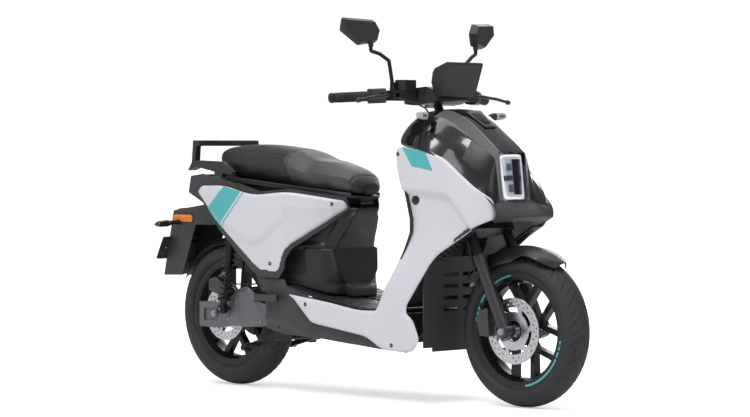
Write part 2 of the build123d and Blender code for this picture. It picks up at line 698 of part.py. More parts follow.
TRIM_LINE = [(x, y + 7) for x, y in REAR_LINE]
TRIM = [
    (-55, 648), (-67, 688), (-167, 702), (-247, 714), (-376, 704), (-436, 708), (-560, 740),
    (-700, 764), (-776, 756), (-792, 697), (-700, 660), (-598, 565), (-420, 425), (-384, 406),
    (-288, 402), (-262, 436), (-259, 468), (-237, 506), (-126, 582),
]
with BuildPart() as tail_trim:
    side_panel(TRIM_LINE, 4, TRIM, 380, 800, radius=5)
    tail_end = [(-778, 750), (-790, 697), (-784, 697), (-772, 747), (-700, 757), (-700, 762)]
    extrude(side_face(tail_end, 0), amount=152)
    mirror(about=Plane.XZ)
    with BuildSketch(Plane.YZ.offset(-800)):
        with Locations((0, 722)):
            SlotOverall(130, 22)
    extrude(amount=30, mode=Mode.SUBTRACT)
export(tail_trim, "tail_trim")

LOWER_LINE = [(-500, -168), (-380, -186), (-200, -199), (0, -205), (345, -205)]
LOWER = [
    (-478, 500), (-371, 324), (-361, 282), (-376, 224), (-282, 206), (-87, 203), (198, 179),
    (330, 172), (330, 296), (180, 300), (46, 305), (-107, 336), (-250, 372), (-268, 400),
    (-384, 404), (-420, 420),
]
with BuildPart() as lower_covers:
    side_panel(LOWER_LINE, 4, LOWER, 150, 600, radius=4)
    mirror(about=Plane.XZ)
    disc_y(PEG_X + 6, PEG_Z + 8, -230, 230, 13, mode=Mode.SUBTRACT)
export(lower_covers, "lower_covers")

FLOOR_TOP = [(-252, 379), (-107, 345), (46, 318), (105, 312), (202, 312)]
with BuildPart() as floorboard:
    under = [(x, z - 7) for x, z in reversed(FLOOR_TOP)]
    extrude(side_face(FLOOR_TOP + under, 186), amount=372)
    for x in range(-240, 190, 30):
        slope_z = 345 - (x + 107) * 0.2 if x > -107 else 345 - (x + 107) * 0.236
        for side in (-1, 1):
            disc_y(x, max(slope_z, 312) - 1, side * 130 - 45, side * 130 + 45, 3)
export(floorboard, "floorboard")

with BuildPart() as inner_apron:
    rear_edge = [
        (297, 858), (301, 784), (330, 690), (348, 621), (348, 576), (323, 520), (271, 423),
        (205, 314),
    ]
    front_edge = [(x + 7, z) for x, z in reversed(rear_edge)]
    extrude(side_face(rear_edge + front_edge, 205), amount=410)
export(inner_apron, "inner_apron")

COWL_X = 388
with BuildPart() as front_cowl:
    face = [(COWL_X, 176), (COWL_X, 492), (COWL_X + 5, 492), (COWL_X + 5, 176)]
    extrude(side_face(face, 138), amount=276)
    for z in (316, 355, 394, 433):
        for side in (-1, 1):
            with BuildSketch(Plane.YZ.offset(COWL_X - 1)):
                with Locations((side * 48, z)):
                    SlotOverall(76, 13)
            extrude(amount=8, mode=Mode.SUBTRACT)
    for side in (-1, 1):
        wall = [(COWL_X, 190), (COWL_X, 492), (430, 502), (596, 598), (600, 592), (433, 496),
                (COWL_X + 5, 486), (COWL_X + 5, 190)]
        low = min(side * 138, side * 183)
        extrude(side_face(wall, low + 45), amount=45)
    add(shield_panels.part, mode=Mode.SUBTRACT)
    add(inner_apron.part, mode=Mode.SUBTRACT)
export(front_cowl, "front_cowl")

with BuildPart() as headlight:
    shape = [(616, 838), (634, 684), (590, 684), (575, 838)]
    extrude(side_face(shape, 61, radius=5), amount=122)
    glass = [(618, 842), (638, 680), (644, 680), (624, 842)]
    extrude(side_face(glass, 64, radius=2), amount=128)
export(headlight, "headlight")

NOSE_SIDE = [
    (294, 866), (300, 935), (330, 975), (380, 992), (436, 990), (530, 926), (598, 872),
    (618, 842), (638, 680), (664, 660), (694, 640), (692, 628), (610, 606), (610, 680),
    (560, 776), (490, 836), (430, 849), (330, 867),
]
NOSE_PLAN = [(280, 206), (430, 199), (560, 168), (625, 142), (668, 134), (690, 92), (704, 40)]
NOSE_FRONT = [
    (60, 998), (105, 985), (178, 930), (210, 880), (210, 560), (-210, 560), (-210, 880),
    (-178, 930), (-105, 985), (-60, 998),
]
NOSE_CAVITY = [
    (299, 600), (299, 866), (304, 934), (333, 970), (381, 987), (434, 985), (527, 921),
    (593, 868), (613, 840), (633, 678), (659, 656), (687, 637), (687, 600),
]
with BuildPart() as nose_volume:
    extrude(side_face(NOSE_SIDE, 220), amount=440)
    extrude(plan_face(mirrored(NOSE_PLAN), 550), amount=500, mode=Mode.INTERSECT)
    extrude(front_face(NOSE_FRONT, 250), amount=500, mode=Mode.INTERSECT)

with BuildPart() as nose_cavity:
    plan = [(x - 4, y - 4) for x, y in NOSE_PLAN]
    front = [(y * 0.98, z - 5) for y, z in NOSE_FRONT]
    extrude(side_face(NOSE_CAVITY, 220), amount=440)
    extrude(plan_face(mirrored(plan), 550), amount=500, mode=Mode.INTERSECT)
    extrude(front_face(front, 250), amount=500, mode=Mode.INTERSECT)

with BuildPart() as nose_cover:
    add(nose_volume.part)
    add(nose_cavity.part, mode=Mode.SUBTRACT)
    recess = [(560, 846), (650, 846), (660, 679), (560, 679)]
    extrude(side_face(recess, 64.5), amount=129, mode=Mode.SUBTRACT)
    with BuildSketch(STEER.offset(700)):
        Circle(46)
    extrude(amount=200, mode=Mode.SUBTRACT)
export(nose_cover, "nose_cover")

# ---- Seat and what is under it ---------------------------------------------------------------
SEAT_HALF = [
    (-12, 48), (-38, 82), (-100, 108), (-200, 126), (-350, 140), (-540, 134), (-670, 108), (-728, 60),
]
SEAT_BOTTOM = [(-12, 688), (-324, 721), (-560, 741), (-670, 768), (-728, 812)]
with BuildPart() as seat_cushion:
    top = [(-728, 848), (-708, 862), (-600, 867), (-336, 847), (-237, 804), (-76, 780), (-12, 722)]
    extrude(side_face(SEAT_BOTTOM + top, 160), amount=320)
    extrude(plan_face(mirrored(SEAT_HALF), 600), amount=400, mode=Mode.INTERSECT)
    fillet(seat_cushion.edges().group_by(Axis.Z)[-1], radius=12)
export(seat_cushion, "seat_cushion")

PAN_T = 7
HINGE_X = -50
HINGE_Z = 668
with BuildPart() as seat_pan:
    pan_top = SEAT_BOTTOM[:4]
    pan_low = [(x, z - PAN_T) for x, z in reversed(pan_top)]
    extrude(side_face(pan_top + pan_low, 160), amount=320)
    pan_plan = [(x - 8, y - 14) for x, y in SEAT_HALF[:7]]
    extrude(plan_face(mirrored(pan_plan), 600), amount=400, mode=Mode.INTERSECT)
    disc_y(HINGE_X, HINGE_Z, -30, 30, 8)
    web = [(HINGE_X - 6, 670), (HINGE_X + 6, 670), (HINGE_X + 6, 686), (HINGE_X - 6, 688)]
    extrude(side_face(web, 30), amount=60)
    disc_y(HINGE_X, HINGE_Z, -31, 31, 4 + SLIDE_GAP, mode=Mode.SUBTRACT)
export(seat_pan, "seat_pan")

BASE_SIDE = [
    (-345, 402), (-107, 346), (-46, 335), (-52, 350), (-60, 369), (-83, 384), (-85, 400),
    (-97, 479), (-106, 510), (-72, 575), (-45, 636), (-46, 650), (-345, 650),
]
BASE_PLAN = [(-84, 60), (-92, 100), (-120, 126), (-200, 140), (-345, 149)]
UPPER_PLAN = [(-40, 40), (-56, 66), (-100, 92), (-150, 120), (-262, 147), (-345, 149)]
LEDGE_Z = 508
with BuildPart() as seat_base_cover:
    extrude(plan_face(mirrored(BASE_PLAN), 300), amount=LEDGE_Z - 300)
    extrude(plan_face(mirrored(UPPER_PLAN), LEDGE_Z), amount=200)
    extrude(side_face(BASE_SIDE, 160), amount=320, mode=Mode.INTERSECT)
    inner = [(-346, 300), (-66, 300), (-89, 384), (-91, 400), (-103, 479), (-112, 510),
             (-78, 577), (-51, 638), (-51, 700), (-346, 700)]
    low_plan = [(x - 5, y - 4) for x, y in BASE_PLAN[:4]] + [(-355, 145)]
    high_plan = [(x - 6, y - 4) for x, y in UPPER_PLAN[:5]] + [(-355, 145)]
    low_face = plan_face(mirrored(low_plan), 290)
    high_face = plan_face(mirrored(high_plan), 290)
    low_hollow = extrude(low_face, amount=LEDGE_Z - 294, mode=Mode.PRIVATE)
    high_hollow = extrude(plan_face(mirrored(high_plan), LEDGE_Z), amount=220, mode=Mode.PRIVATE)
    low_block = extrude(low_face, amount=LEDGE_Z - 280, mode=Mode.PRIVATE)
    high_block = extrude(high_face, amount=LEDGE_Z - 280, mode=Mode.PRIVATE)
    hollow_solid = low_hollow + high_hollow + (low_block & high_block)
    side_solid = extrude(side_face(inner, 160), amount=320, mode=Mode.PRIVATE)
    add(hollow_solid.intersect(side_solid), mode=Mode.SUBTRACT)
    for side in (-1, 1):
        lug = [(HINGE_X - 16, 636), (HINGE_X + 2, 636), (HINGE_X + 8, 652), (HINGE_X + 8, 668),
               (HINGE_X, 676), (HINGE_X - 8, 668)]
        low = min(side * 31, side * 38)
        extrude(side_face(lug, low + 7), amount=7)
    disc_y(HINGE_X, HINGE_Z, -33, 33, 4)
    add(floorboard.part, mode=Mode.SUBTRACT)
export(seat_base_cover, "seat_base_cover")

TUB = (-322, -172, 112, 490, 660)
with BuildPart() as storage_tub:
    rear_x, front_x, half_y, low_z, high_z = TUB
    corners = [(rear_x, -half_y), (front_x, -half_y), (front_x, half_y), (rear_x, half_y)]
    extrude(plan_face(corners, low_z, radius=24), amount=high_z - low_z)
    offset(amount=-3, openings=storage_tub.faces().sort_by(Axis.Z)[-1])
export(storage_tub, "storage_tub")

with BuildPart() as grab_rail:
    upright = [(-778, 776), (-768, 884), (-738, 884), (-735, 866), (-752, 862), (-757, 804),
               (-735, 800)]
    arm = [(-778, 776), (-757, 806), (-735, 812), (-600, 808), (-548, 772), (-548, 762),
           (-600, 766), (-640, 772), (-735, 790)]
    for side in (-1, 1):
        low = min(side * 126, side * 150)
        extrude(side_face(upright, low + 24, radius=2), amount=24)
        low = min(side * 146, side * 166)
        extrude(side_face(arm, low + 20, radius=2), amount=20)
        corner = [(-778, 776), (-757, 806), (-735, 812), (-735, 790)]
        low = min(side * 126, side * 166)
        extrude(side_face(corner, low + 40), amount=40)
    top_bar = [(-768, 884), (-738, 884), (-738, 864), (-764, 864)]
    extrude(side_face(top_bar, 140), amount=280)
    foot = [(-640, 758), (-600, 752), (-600, 776), (-640, 776)]
    for side in (-1, 1):
        low = min(side * 146, side * 166)
        extrude(side_face(foot, low + 20), amount=20)
    with BuildSketch(Plane.XY.offset(800)):
        with Locations((-753, -90), (-753, 90)):
            Circle(RAIL_HOLE_R)
    extrude(amount=100, mode=Mode.SUBTRACT)
    add(tail_trim.part, mode=Mode.SUBTRACT)
export(grab_rail, "grab_rail")

FENDER_OUT = [
    (-690, 655), (-760, 655), (-950, 628), (-976, 511), (-1002, 389), (-903, 392), (-834, 578),
    (-733, 578), (-690, 600),
]
FENDER_IN = [
    (-680, 648), (-760, 648), (-945, 622), (-971, 511), (-998, 380), (-880, 380), (-820, 560),
    (-680, 560),
]
PLATE_TILT = 26
PLATE_AT = Plane(
    origin=(-972, 0, 487),
    x_dir=(0, 1, 0),
    z_dir=(-math.cos(math.radians(PLATE_TILT)), 0, math.sin(math.radians(PLATE_TILT))),
)
with BuildPart() as rear_fender:
    extrude(side_face(FENDER_OUT, 78), amount=156)
    extrude(side_face(FENDER_IN, 73.5), amount=147, mode=Mode.SUBTRACT)
    mount_web = [(-690, 640), (-760, 655), (-776, 694), (-768, 694), (-700, 666)]
    extrude(side_face(mount_web, 60), amount=120)
    with BuildSketch(PLATE_AT.offset(6)):
        RectangleRounded(240, 90, 6)
        with Locations((-PLATE_HOLES / 2, 0), (PLATE_HOLES / 2, 0)):
            Circle(PLATE_HOLE_R, mode=Mode.SUBTRACT)
    extrude(amount=4)
    with BuildSketch(PLATE_AT.offset(-8)):
        Rectangle(100, 50)
    extrude(amount=15)
    add(tail_trim.part, mode=Mode.SUBTRACT)
export(rear_fender, "rear_fender")

with BuildPart() as signal_lamps:
    for side in (-1, 1):
        bar([(398, side * 100, 964), (399, side * 150, 969)], 8)
        with BuildSketch(Plane(origin=(399, side * 142, 969), z_dir=(0, side, 0))):
            RectangleRounded(44, 30, 9)
        extrude(amount=80, taper=5)
        bar([(-938, side * 76, 584), (-940, side * 108, 582)], 7)
        with BuildSketch(Plane(origin=(-940, side * 106, 581), z_dir=(0, side, 0))):
            RectangleRounded(34, 26, 8)
        extrude(amount=76, taper=5)
    with BuildSketch(Plane.YZ.offset(-796)):
        with Locations((0, 722)):
            SlotOverall(128, 20)
    extrude(amount=28)
    add(nose_volume.part, mode=Mode.SUBTRACT)
    add(rear_fender.part, mode=Mode.SUBTRACT)
export(signal_lamps, "signal_lamps")

# ---- Controls ----------------------------------------------------------------------------------
LEVER_PIVOT = (272, -202)
with BuildPart() as switch_housings:
    with BuildSketch(Plane(origin=throttle_start + throttle_run * 11, z_dir=-throttle_run)):
        RectangleRounded(48, 50, 12)
    extrude(amount=52)
    clamp = [(236, -112), (290, -112), (288, -190), (286, -212), (258, -214), (226, -196)]
    extrude(plan_face(clamp, 1016), amount=34)
    tank = [(248, -108), (292, -108), (292, -172), (248, -172)]
    extrude(plan_face(tank, 1050, radius=6), amount=36)
    with BuildSketch(Plane.XY.offset(1050)):
        with Locations(MIRROR_ROOT):
            Circle(10)
    extrude(amount=12)
    slot = [(250, -250), (296, -250), (296, -188), (262, -188), (250, -196)]
    extrude(plan_face(slot, 1027), amount=14, mode=Mode.SUBTRACT)
    with BuildSketch(Plane.XY.offset(1018)):
        with Locations(LEVER_PIVOT):
            Circle(4)
    extrude(amount=32)
    with BuildSketch(Plane.XY.offset(1048)):
        with Locations(MIRROR_ROOT):
            Circle(5)
    extrude(amount=15, mode=Mode.SUBTRACT)
    mirror(about=Plane.XZ)
    add(handlebar.part, mode=Mode.SUBTRACT)
    with BuildSketch(BUTTON_FACE.offset(-6)):
        RectangleRounded(13, 13, 3)
    extrude(amount=40, mode=Mode.SUBTRACT)
    with BuildSketch(SWITCH_FACE.offset(-6)):
        RectangleRounded(22, 11, 3)
    extrude(amount=40, mode=Mode.SUBTRACT)
export(switch_housings, "switch_housings")

with BuildPart() as start_button:
    with BuildSketch(BUTTON_FACE.offset(-2)):
        RectangleRounded(12, 12, 2.5)
    extrude(amount=BUTTON_OUT)
export(start_button, "start_button")

with BuildPart() as turn_switch:
    with BuildSketch(SWITCH_FACE.offset(-2)):
        RectangleRounded(13, 10, 2.5)
    extrude(amount=BUTTON_OUT)
export(turn_switch, "turn_switch")

with BuildPart() as front_brake_lever:
    bar([(LEVER_PIVOT[0], LEVER_PIVOT[1], 1034), (283, -240, 1033), (284, -310, 1026),
         (277, -374, 1016)], 5.5, bend=20)
    with BuildSketch(Plane.XY.offset(1027.5)):
        with Locations(LEVER_PIVOT):
            Circle(9)
    extrude(amount=13)
    tip = Plane(origin=(277, -376, 1015.5), z_dir=(-0.1, -1, -0.15))
    with BuildSketch(tip.offset(-6)):
        Circle(8)
    extrude(amount=12)
    with BuildSketch(Plane.XY.offset(1020)):
        with Locations(LEVER_PIVOT):
            Circle(4 + SLIDE_GAP)
    extrude(amount=30, mode=Mode.SUBTRACT)
export(front_brake_lever, "front_brake_lever")

with BuildPart() as rear_brake_lever:
    mirror(front_brake_lever.part, about=Plane.XZ)
export(rear_brake_lever, "rear_brake_lever")

HEAD_CENTRE = Vector(212, -306, 1246)
NECK = HEAD_CENTRE + Vector(14, 42, -50)
HEAD_YAW = math.radians(14)
# Local X points inboard, local Y up and local Z forward.
HEAD_PLANE = Plane(
    origin=HEAD_CENTRE,
    x_dir=(math.sin(HEAD_YAW), math.cos(HEAD_YAW), 0),
    z_dir=(math.cos(HEAD_YAW), -math.sin(HEAD_YAW), 0),
)
HEAD_OUTLINE = [(66, -36), (-4, -46), (-74, 2), (-66, 46), (56, 40), (78, 6)]
with BuildPart() as mirror_head_right:
    with BuildSketch(HEAD_PLANE):
        with BuildLine():
            FilletPolyline(*HEAD_OUTLINE, radius=8, close=True)
        make_face()
    extrude(amount=20, taper=22)
    with BuildSketch(HEAD_PLANE):
        with BuildLine():
            FilletPolyline(*HEAD_OUTLINE, radius=8, close=True)
        make_face()
    extrude(amount=-6)
    with BuildSketch(Plane(origin=NECK, z_dir=(0, 0, 1))):
        Circle(9)
    extrude(amount=34)
export(mirror_head_right, "mirror_head_right")

with BuildPart() as mirror_head_left:
    mirror(mirror_head_right.part, about=Plane.XZ)
export(mirror_head_left, "mirror_head_left")

with BuildPart() as mirror_stems:
    bar([(MIRROR_ROOT[0], MIRROR_ROOT[1], 1068), (245, -196, 1150), (238, -232, 1172),
         (NECK.X, NECK.Y, NECK.Z - 14), (NECK.X, NECK.Y, NECK.Z - 0.1)], 6.5, bend=5)
    with BuildSketch(Plane.XY.offset(1062)):
        with Locations(MIRROR_ROOT):
            Circle(9)
    extrude(amount=16)
    with BuildSketch(Plane.XY.offset(1049)):
        with Locations(MIRROR_ROOT):
            Circle(5)
    extrude(amount=16)
    mirror(about=Plane.XZ)
export(mirror_stems, "mirror_stems")

with BuildPart() as display:
    pod = [(338, 1112), (352, 1126), (412, 1146), (416, 1138), (380, 1029), (354, 1030),
           (330, 1078)]
    extrude(side_face(pod, 88, radius=4), amount=176)
    pod_plan = [(300, 70), (350, 84), (420, 88)]
    extrude(plan_face(mirrored(pod_plan[::-1]), 1000), amount=200, mode=Mode.INTERSECT)
export(display, "display")

with BuildPart() as bar_cover:
    cover = [(222, 1006), (222, 1046), (262, 1058), (318, 1064), (352, 1050), (360, 1018),
             (318, 1006), (270, 1001)]
    extrude(side_face(cover, 108, radius=5), amount=216)
    cover_plan = [(370, 66), (318, 92), (246, 108), (210, 90)]
    extrude(plan_face(mirrored(cover_plan), 980), amount=200, mode=Mode.INTERSECT)
    add(display.part, mode=Mode.SUBTRACT)
    add(handlebar.part, mode=Mode.SUBTRACT)
    add(steering_stem.part, mode=Mode.SUBTRACT)
    add(switch_housings.part, mode=Mode.SUBTRACT)
export(bar_cover, "bar_cover")

# ---- Pegs and stands ------------------------------------------------------------------------------
with BuildPart() as peg_right:
    peg = [(PEG_X - 9, -PEG_Y + 9), (-281, -PEG_Y + 9), (-276, -PEG_Y - 4), (-284, -PEG_Y - 10),
           (PEG_X - 2, -PEG_Y - 9), (PEG_X - 9, -PEG_Y)]
    extrude(plan_face(peg, PEG_Z - 11.7, radius=2), amount=23.4)
    with BuildSketch(Plane.XY.offset(PEG_Z - 20)):
        with Locations((PEG_X, -PEG_Y)):
            Circle(4 + SLIDE_GAP)
    extrude(amount=40, mode=Mode.SUBTRACT)
export(peg_right, "peg_right")

with BuildPart() as peg_left:
    mirror(peg_right.part, about=Plane.XZ)
export(peg_left, "peg_left")

with BuildPart() as centre_stand:
    foot_x = -530
    foot_z = 146
    for side in (-1, 1):
        low = min(side * 105, side * 121)
        leg = taper((STAND_X, STAND_Z), (foot_x, foot_z), 24, 18)
        extrude(side_face(leg, low + 16), amount=16)
        disc_y(STAND_X, STAND_Z, low, low + 16, 14)
        disc_y(foot_x, foot_z, min(side * 96, side * 132), min(side * 96, side * 132) + 36, 11)
        disc_y(STAND_X, STAND_Z, low - 1, low + 17, 6 + SLIDE_GAP, mode=Mode.SUBTRACT)
    disc_y(-400, 183, -110, 110, 9)
    disc_y(-470, 160, -178, -110, 7)
export(centre_stand, "centre_stand")

with BuildPart() as side_stand:
    with BuildSketch(STAND_AXIS.offset(1)):
        Circle(13)
    extrude(amount=10)
    leg_start = STAND_AXIS.from_local_coords(Vector(-6, -2, 6))
    leg_end = Vector(-470, 152, 164)
    bar([leg_start, leg_end], 7)
    pad = [(-490, 138), (-454, 138), (-454, 168), (-490, 168)]
    extrude(plan_face(pad, 154, radius=4), amount=8)
    with BuildSketch(STAND_AXIS.offset(-2)):
        Circle(5 + SLIDE_GAP)
    extrude(amount=20, mode=Mode.SUBTRACT)
export(side_stand, "side_stand")
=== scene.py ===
import json
import math

import bmesh
import bpy
import numpy as np
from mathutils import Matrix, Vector
from mathutils.geometry import delaunay_2d_cdt


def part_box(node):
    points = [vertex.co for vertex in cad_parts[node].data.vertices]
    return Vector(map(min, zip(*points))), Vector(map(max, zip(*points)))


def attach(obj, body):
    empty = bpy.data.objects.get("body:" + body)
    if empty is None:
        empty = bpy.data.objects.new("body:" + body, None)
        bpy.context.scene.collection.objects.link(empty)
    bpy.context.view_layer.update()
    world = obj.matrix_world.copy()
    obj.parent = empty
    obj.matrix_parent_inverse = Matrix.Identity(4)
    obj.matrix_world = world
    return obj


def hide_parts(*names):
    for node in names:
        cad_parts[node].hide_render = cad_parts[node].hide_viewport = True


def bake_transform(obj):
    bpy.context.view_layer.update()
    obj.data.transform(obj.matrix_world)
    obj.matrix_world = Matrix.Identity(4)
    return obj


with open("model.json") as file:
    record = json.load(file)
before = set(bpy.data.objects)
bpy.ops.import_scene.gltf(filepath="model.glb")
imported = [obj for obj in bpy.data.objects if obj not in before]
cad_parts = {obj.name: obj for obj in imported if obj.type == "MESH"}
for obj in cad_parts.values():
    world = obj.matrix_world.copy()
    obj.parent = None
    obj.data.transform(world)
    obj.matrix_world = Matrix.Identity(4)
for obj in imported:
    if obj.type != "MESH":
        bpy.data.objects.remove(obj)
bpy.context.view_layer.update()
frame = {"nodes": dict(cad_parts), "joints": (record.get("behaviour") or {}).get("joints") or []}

NODES = frame["nodes"]
JOINTS = {joint["name"]: joint for joint in frame["joints"]}
SCENE = bpy.context.scene

# Colours, linear RGB
PALE = (0.62, 0.62, 0.66)
TEAL = (0.075, 0.42, 0.43)
BLACK = (0.006, 0.006, 0.007)
SATIN = (0.014, 0.014, 0.015)
DARK_GREY = (0.034, 0.034, 0.036)
AMBER = (0.62, 0.17, 0.02)


# ---- Materials ------------------------------------------------------------------------------
def material(name):
    """New node material: returns it with its node tree and the Principled shader."""
    mat = bpy.data.materials.new(name)
    mat.use_nodes = True
    tree = mat.node_tree
    return mat, tree, tree.nodes["Principled BSDF"]


def add_noise(tree, scale, detail=4.0, rough=0.55):
    """Noise texture in object coordinates, so its grain has a real size."""
    coords = tree.nodes.new("ShaderNodeTexCoord")
    noise = tree.nodes.new("ShaderNodeTexNoise")
    noise.inputs["Scale"].default_value = scale
    noise.inputs["Detail"].default_value = detail
    noise.inputs["Roughness"].default_value = rough
    tree.links.new(coords.outputs["Object"], noise.inputs["Vector"])
    return noise


def ramp_between(tree, source, low, high):
    """Map a 0-1 texture output to a range."""
    span = tree.nodes.new("ShaderNodeMapRange")
    span.inputs["From Min"].default_value = 0.3
    span.inputs["From Max"].default_value = 0.7
    span.inputs["To Min"].default_value = low
    span.inputs["To Max"].default_value = high
    tree.links.new(source, span.inputs["Value"])
    return span.outputs["Result"]


def tint(tree, shader, colour, source, amount):
    """Vary the base colour a little with a texture."""
    mix = tree.nodes.new("ShaderNodeMix")
    mix.data_type = "RGBA"
    mix.inputs["A"].default_value = (*[c * (1 - amount) for c in colour], 1)
    mix.inputs["B"].default_value = (*[min(1, c * (1 + amount)) for c in colour], 1)
    tree.links.new(source, mix.inputs["Factor"])
    tree.links.new(mix.outputs["Result"], shader.inputs["Base Color"])


def finish_surface(tree, shader, height, depth, edge):
    """Bump from a height texture, over edges rounded to a small radius."""
    bump = tree.nodes.new("ShaderNodeBump")
    bump.inputs["Strength"].default_value = 1.0
    bump.inputs["Distance"].default_value = depth
    tree.links.new(height, bump.inputs["Height"])
    if edge:
        bevel = tree.nodes.new("ShaderNodeBevel")
        bevel.samples = 4
        bevel.inputs["Radius"].default_value = edge
        tree.links.new(bevel.outputs["Normal"], bump.inputs["Normal"])
    tree.links.new(bump.outputs["Normal"], shader.inputs["Normal"])


def plastic(name, colour, rough, grain=900, depth=0.00004, edge=0.0012, coat=0.0, vary=0.05):
    """Moulded plastic: fine grain, slightly uneven gloss, optional clear coat."""
    mat, tree, shader = material(name)
    fine = add_noise(tree, grain)
    broad = add_noise(tree, 9, detail=3)
    rough_out = ramp_between(tree, broad.outputs["Fac"], rough * 0.88, rough * 1.12)
    tree.links.new(rough_out, shader.inputs["Roughness"])
    tint(tree, shader, colour, broad.outputs["Fac"], vary)
    finish_surface(tree, shader, fine.outputs["Fac"], depth, edge)
    shader.inputs["Coat Weight"].default_value = coat
    shader.inputs["Coat Roughness"].default_value = 0.04
    return mat


def metal(name, colour, rough, grain=240, depth=0.00003, edge=0.0012, metallic=1.0, stretch=None):
    """Metal with brushed or cast grain; a stretch squeezes the grain along one axis."""
    mat, tree, shader = material(name)
    fine = add_noise(tree, grain, detail=5)
    if stretch:
        squeeze = tree.nodes.new("ShaderNodeMapping")
        squeeze.inputs["Scale"].default_value = stretch
        source = fine.inputs["Vector"].links[0].from_socket
        tree.links.new(source, squeeze.inputs["Vector"])
        tree.links.new(squeeze.outputs["Vector"], fine.inputs["Vector"])
    rough_out = ramp_between(tree, fine.outputs["Fac"], rough * 0.8, rough * 1.25)
    tree.links.new(rough_out, shader.inputs["Roughness"])
    tint(tree, shader, colour, fine.outputs["Fac"], 0.12)
    finish_surface(tree, shader, fine.outputs["Fac"], depth, edge)
    shader.inputs["Metallic"].default_value = metallic
    return mat


def leather(name, colour, rough=0.5):
    """Seat vinyl: small cell grain with soft colour variation."""
    mat, tree, shader = material(name)
    coords = tree.nodes.new("ShaderNodeTexCoord")
    cells = tree.nodes.new("ShaderNodeTexVoronoi")
    cells.inputs["Scale"].default_value = 420
    tree.links.new(coords.outputs["Object"], cells.inputs["Vector"])
    broad = add_noise(tree, 14, detail=5)
    tint(tree, shader, colour, broad.outputs["Fac"], 0.10)
    rough_out = ramp_between(tree, broad.outputs["Fac"], rough * 0.9, rough * 1.15)
    tree.links.new(rough_out, shader.inputs["Roughness"])
    finish_surface(tree, shader, cells.outputs["Distance"], 0.00022, 0)
    return mat


def glow_lens(name, colour, strength, rough=0.08):
    """Translucent lens with a faint emission, so a lamp reads as lit from within; on the amber
    reflectors and the headlight reflector chamber the glow is painted light.
    """
    mat, tree, shader = material(name)
    fine = add_noise(tree, 120)
    tint(tree, shader, colour, fine.outputs["Fac"], 0.05)
    shader.inputs["Roughness"].default_value = rough
    shader.inputs["Emission Color"].default_value = (*colour, 1)
    shader.inputs["Emission Strength"].default_value = strength
    finish_surface(tree, shader, fine.outputs["Fac"], 0.00006, 0)
    return mat


def clear_lens(name, tone=(0.95, 0.97, 1.0)):
    """Clear polycarbonate: glossy, mostly see-through, cheap to render."""
    mat, tree, shader = material(name)
    fine = add_noise(tree, 60)
    glossy = tree.nodes.new("ShaderNodeBsdfGlossy")
    glossy.inputs["Roughness"].default_value = 0.03
    through = tree.nodes.new("ShaderNodeBsdfTransparent")
    through.inputs["Color"].default_value = (*tone, 1)
    fresnel = tree.nodes.new("ShaderNodeFresnel")
    fresnel.inputs["IOR"].default_value = 1.5
    bump = tree.nodes.new("ShaderNodeBump")
    bump.inputs["Distance"].default_value = 0.0001
    tree.links.new(fine.outputs["Fac"], bump.inputs["Height"])
    tree.links.new(bump.outputs["Normal"], glossy.inputs["Normal"])
    mix = tree.nodes.new("ShaderNodeMixShader")
    tree.links.new(fresnel.outputs["Fac"], mix.inputs["Fac"])
    tree.links.new(through.outputs["BSDF"], mix.inputs[1])
    tree.links.new(glossy.outputs["BSDF"], mix.inputs[2])
    tree.links.new(mix.outputs["Shader"], tree.nodes["Material Output"].inputs["Surface"])
    return mat


def ribbed(name, colour, rough, pitch, depth, direction):
    """Plastic with fine moulded ribs of a given pitch along a direction."""
    mat, tree, shader = material(name)
    coords = tree.nodes.new("ShaderNodeTexCoord")
    dot = tree.nodes.new("ShaderNodeVectorMath")
    dot.operation = "DOT_PRODUCT"
    dot.inputs[1].default_value = direction
    scale = tree.nodes.new("ShaderNodeMath")
    scale.operation = "MULTIPLY"
    scale.inputs[1].default_value = 2 * math.pi / pitch
    wave = tree.nodes.new("ShaderNodeMath")
    wave.operation = "SINE"
    tree.links.new(coords.outputs["Object"], dot.inputs[0])
    tree.links.new(dot.outputs["Value"], scale.inputs[0])
    tree.links.new(scale.outputs["Value"], wave.inputs[0])
    broad = add_noise(tree, 12)
    tint(tree, shader, colour, broad.outputs["Fac"], 0.08)
    shader.inputs["Roughness"].default_value = rough
    finish_surface(tree, shader, wave.outputs["Value"], depth, 0)
    return mat


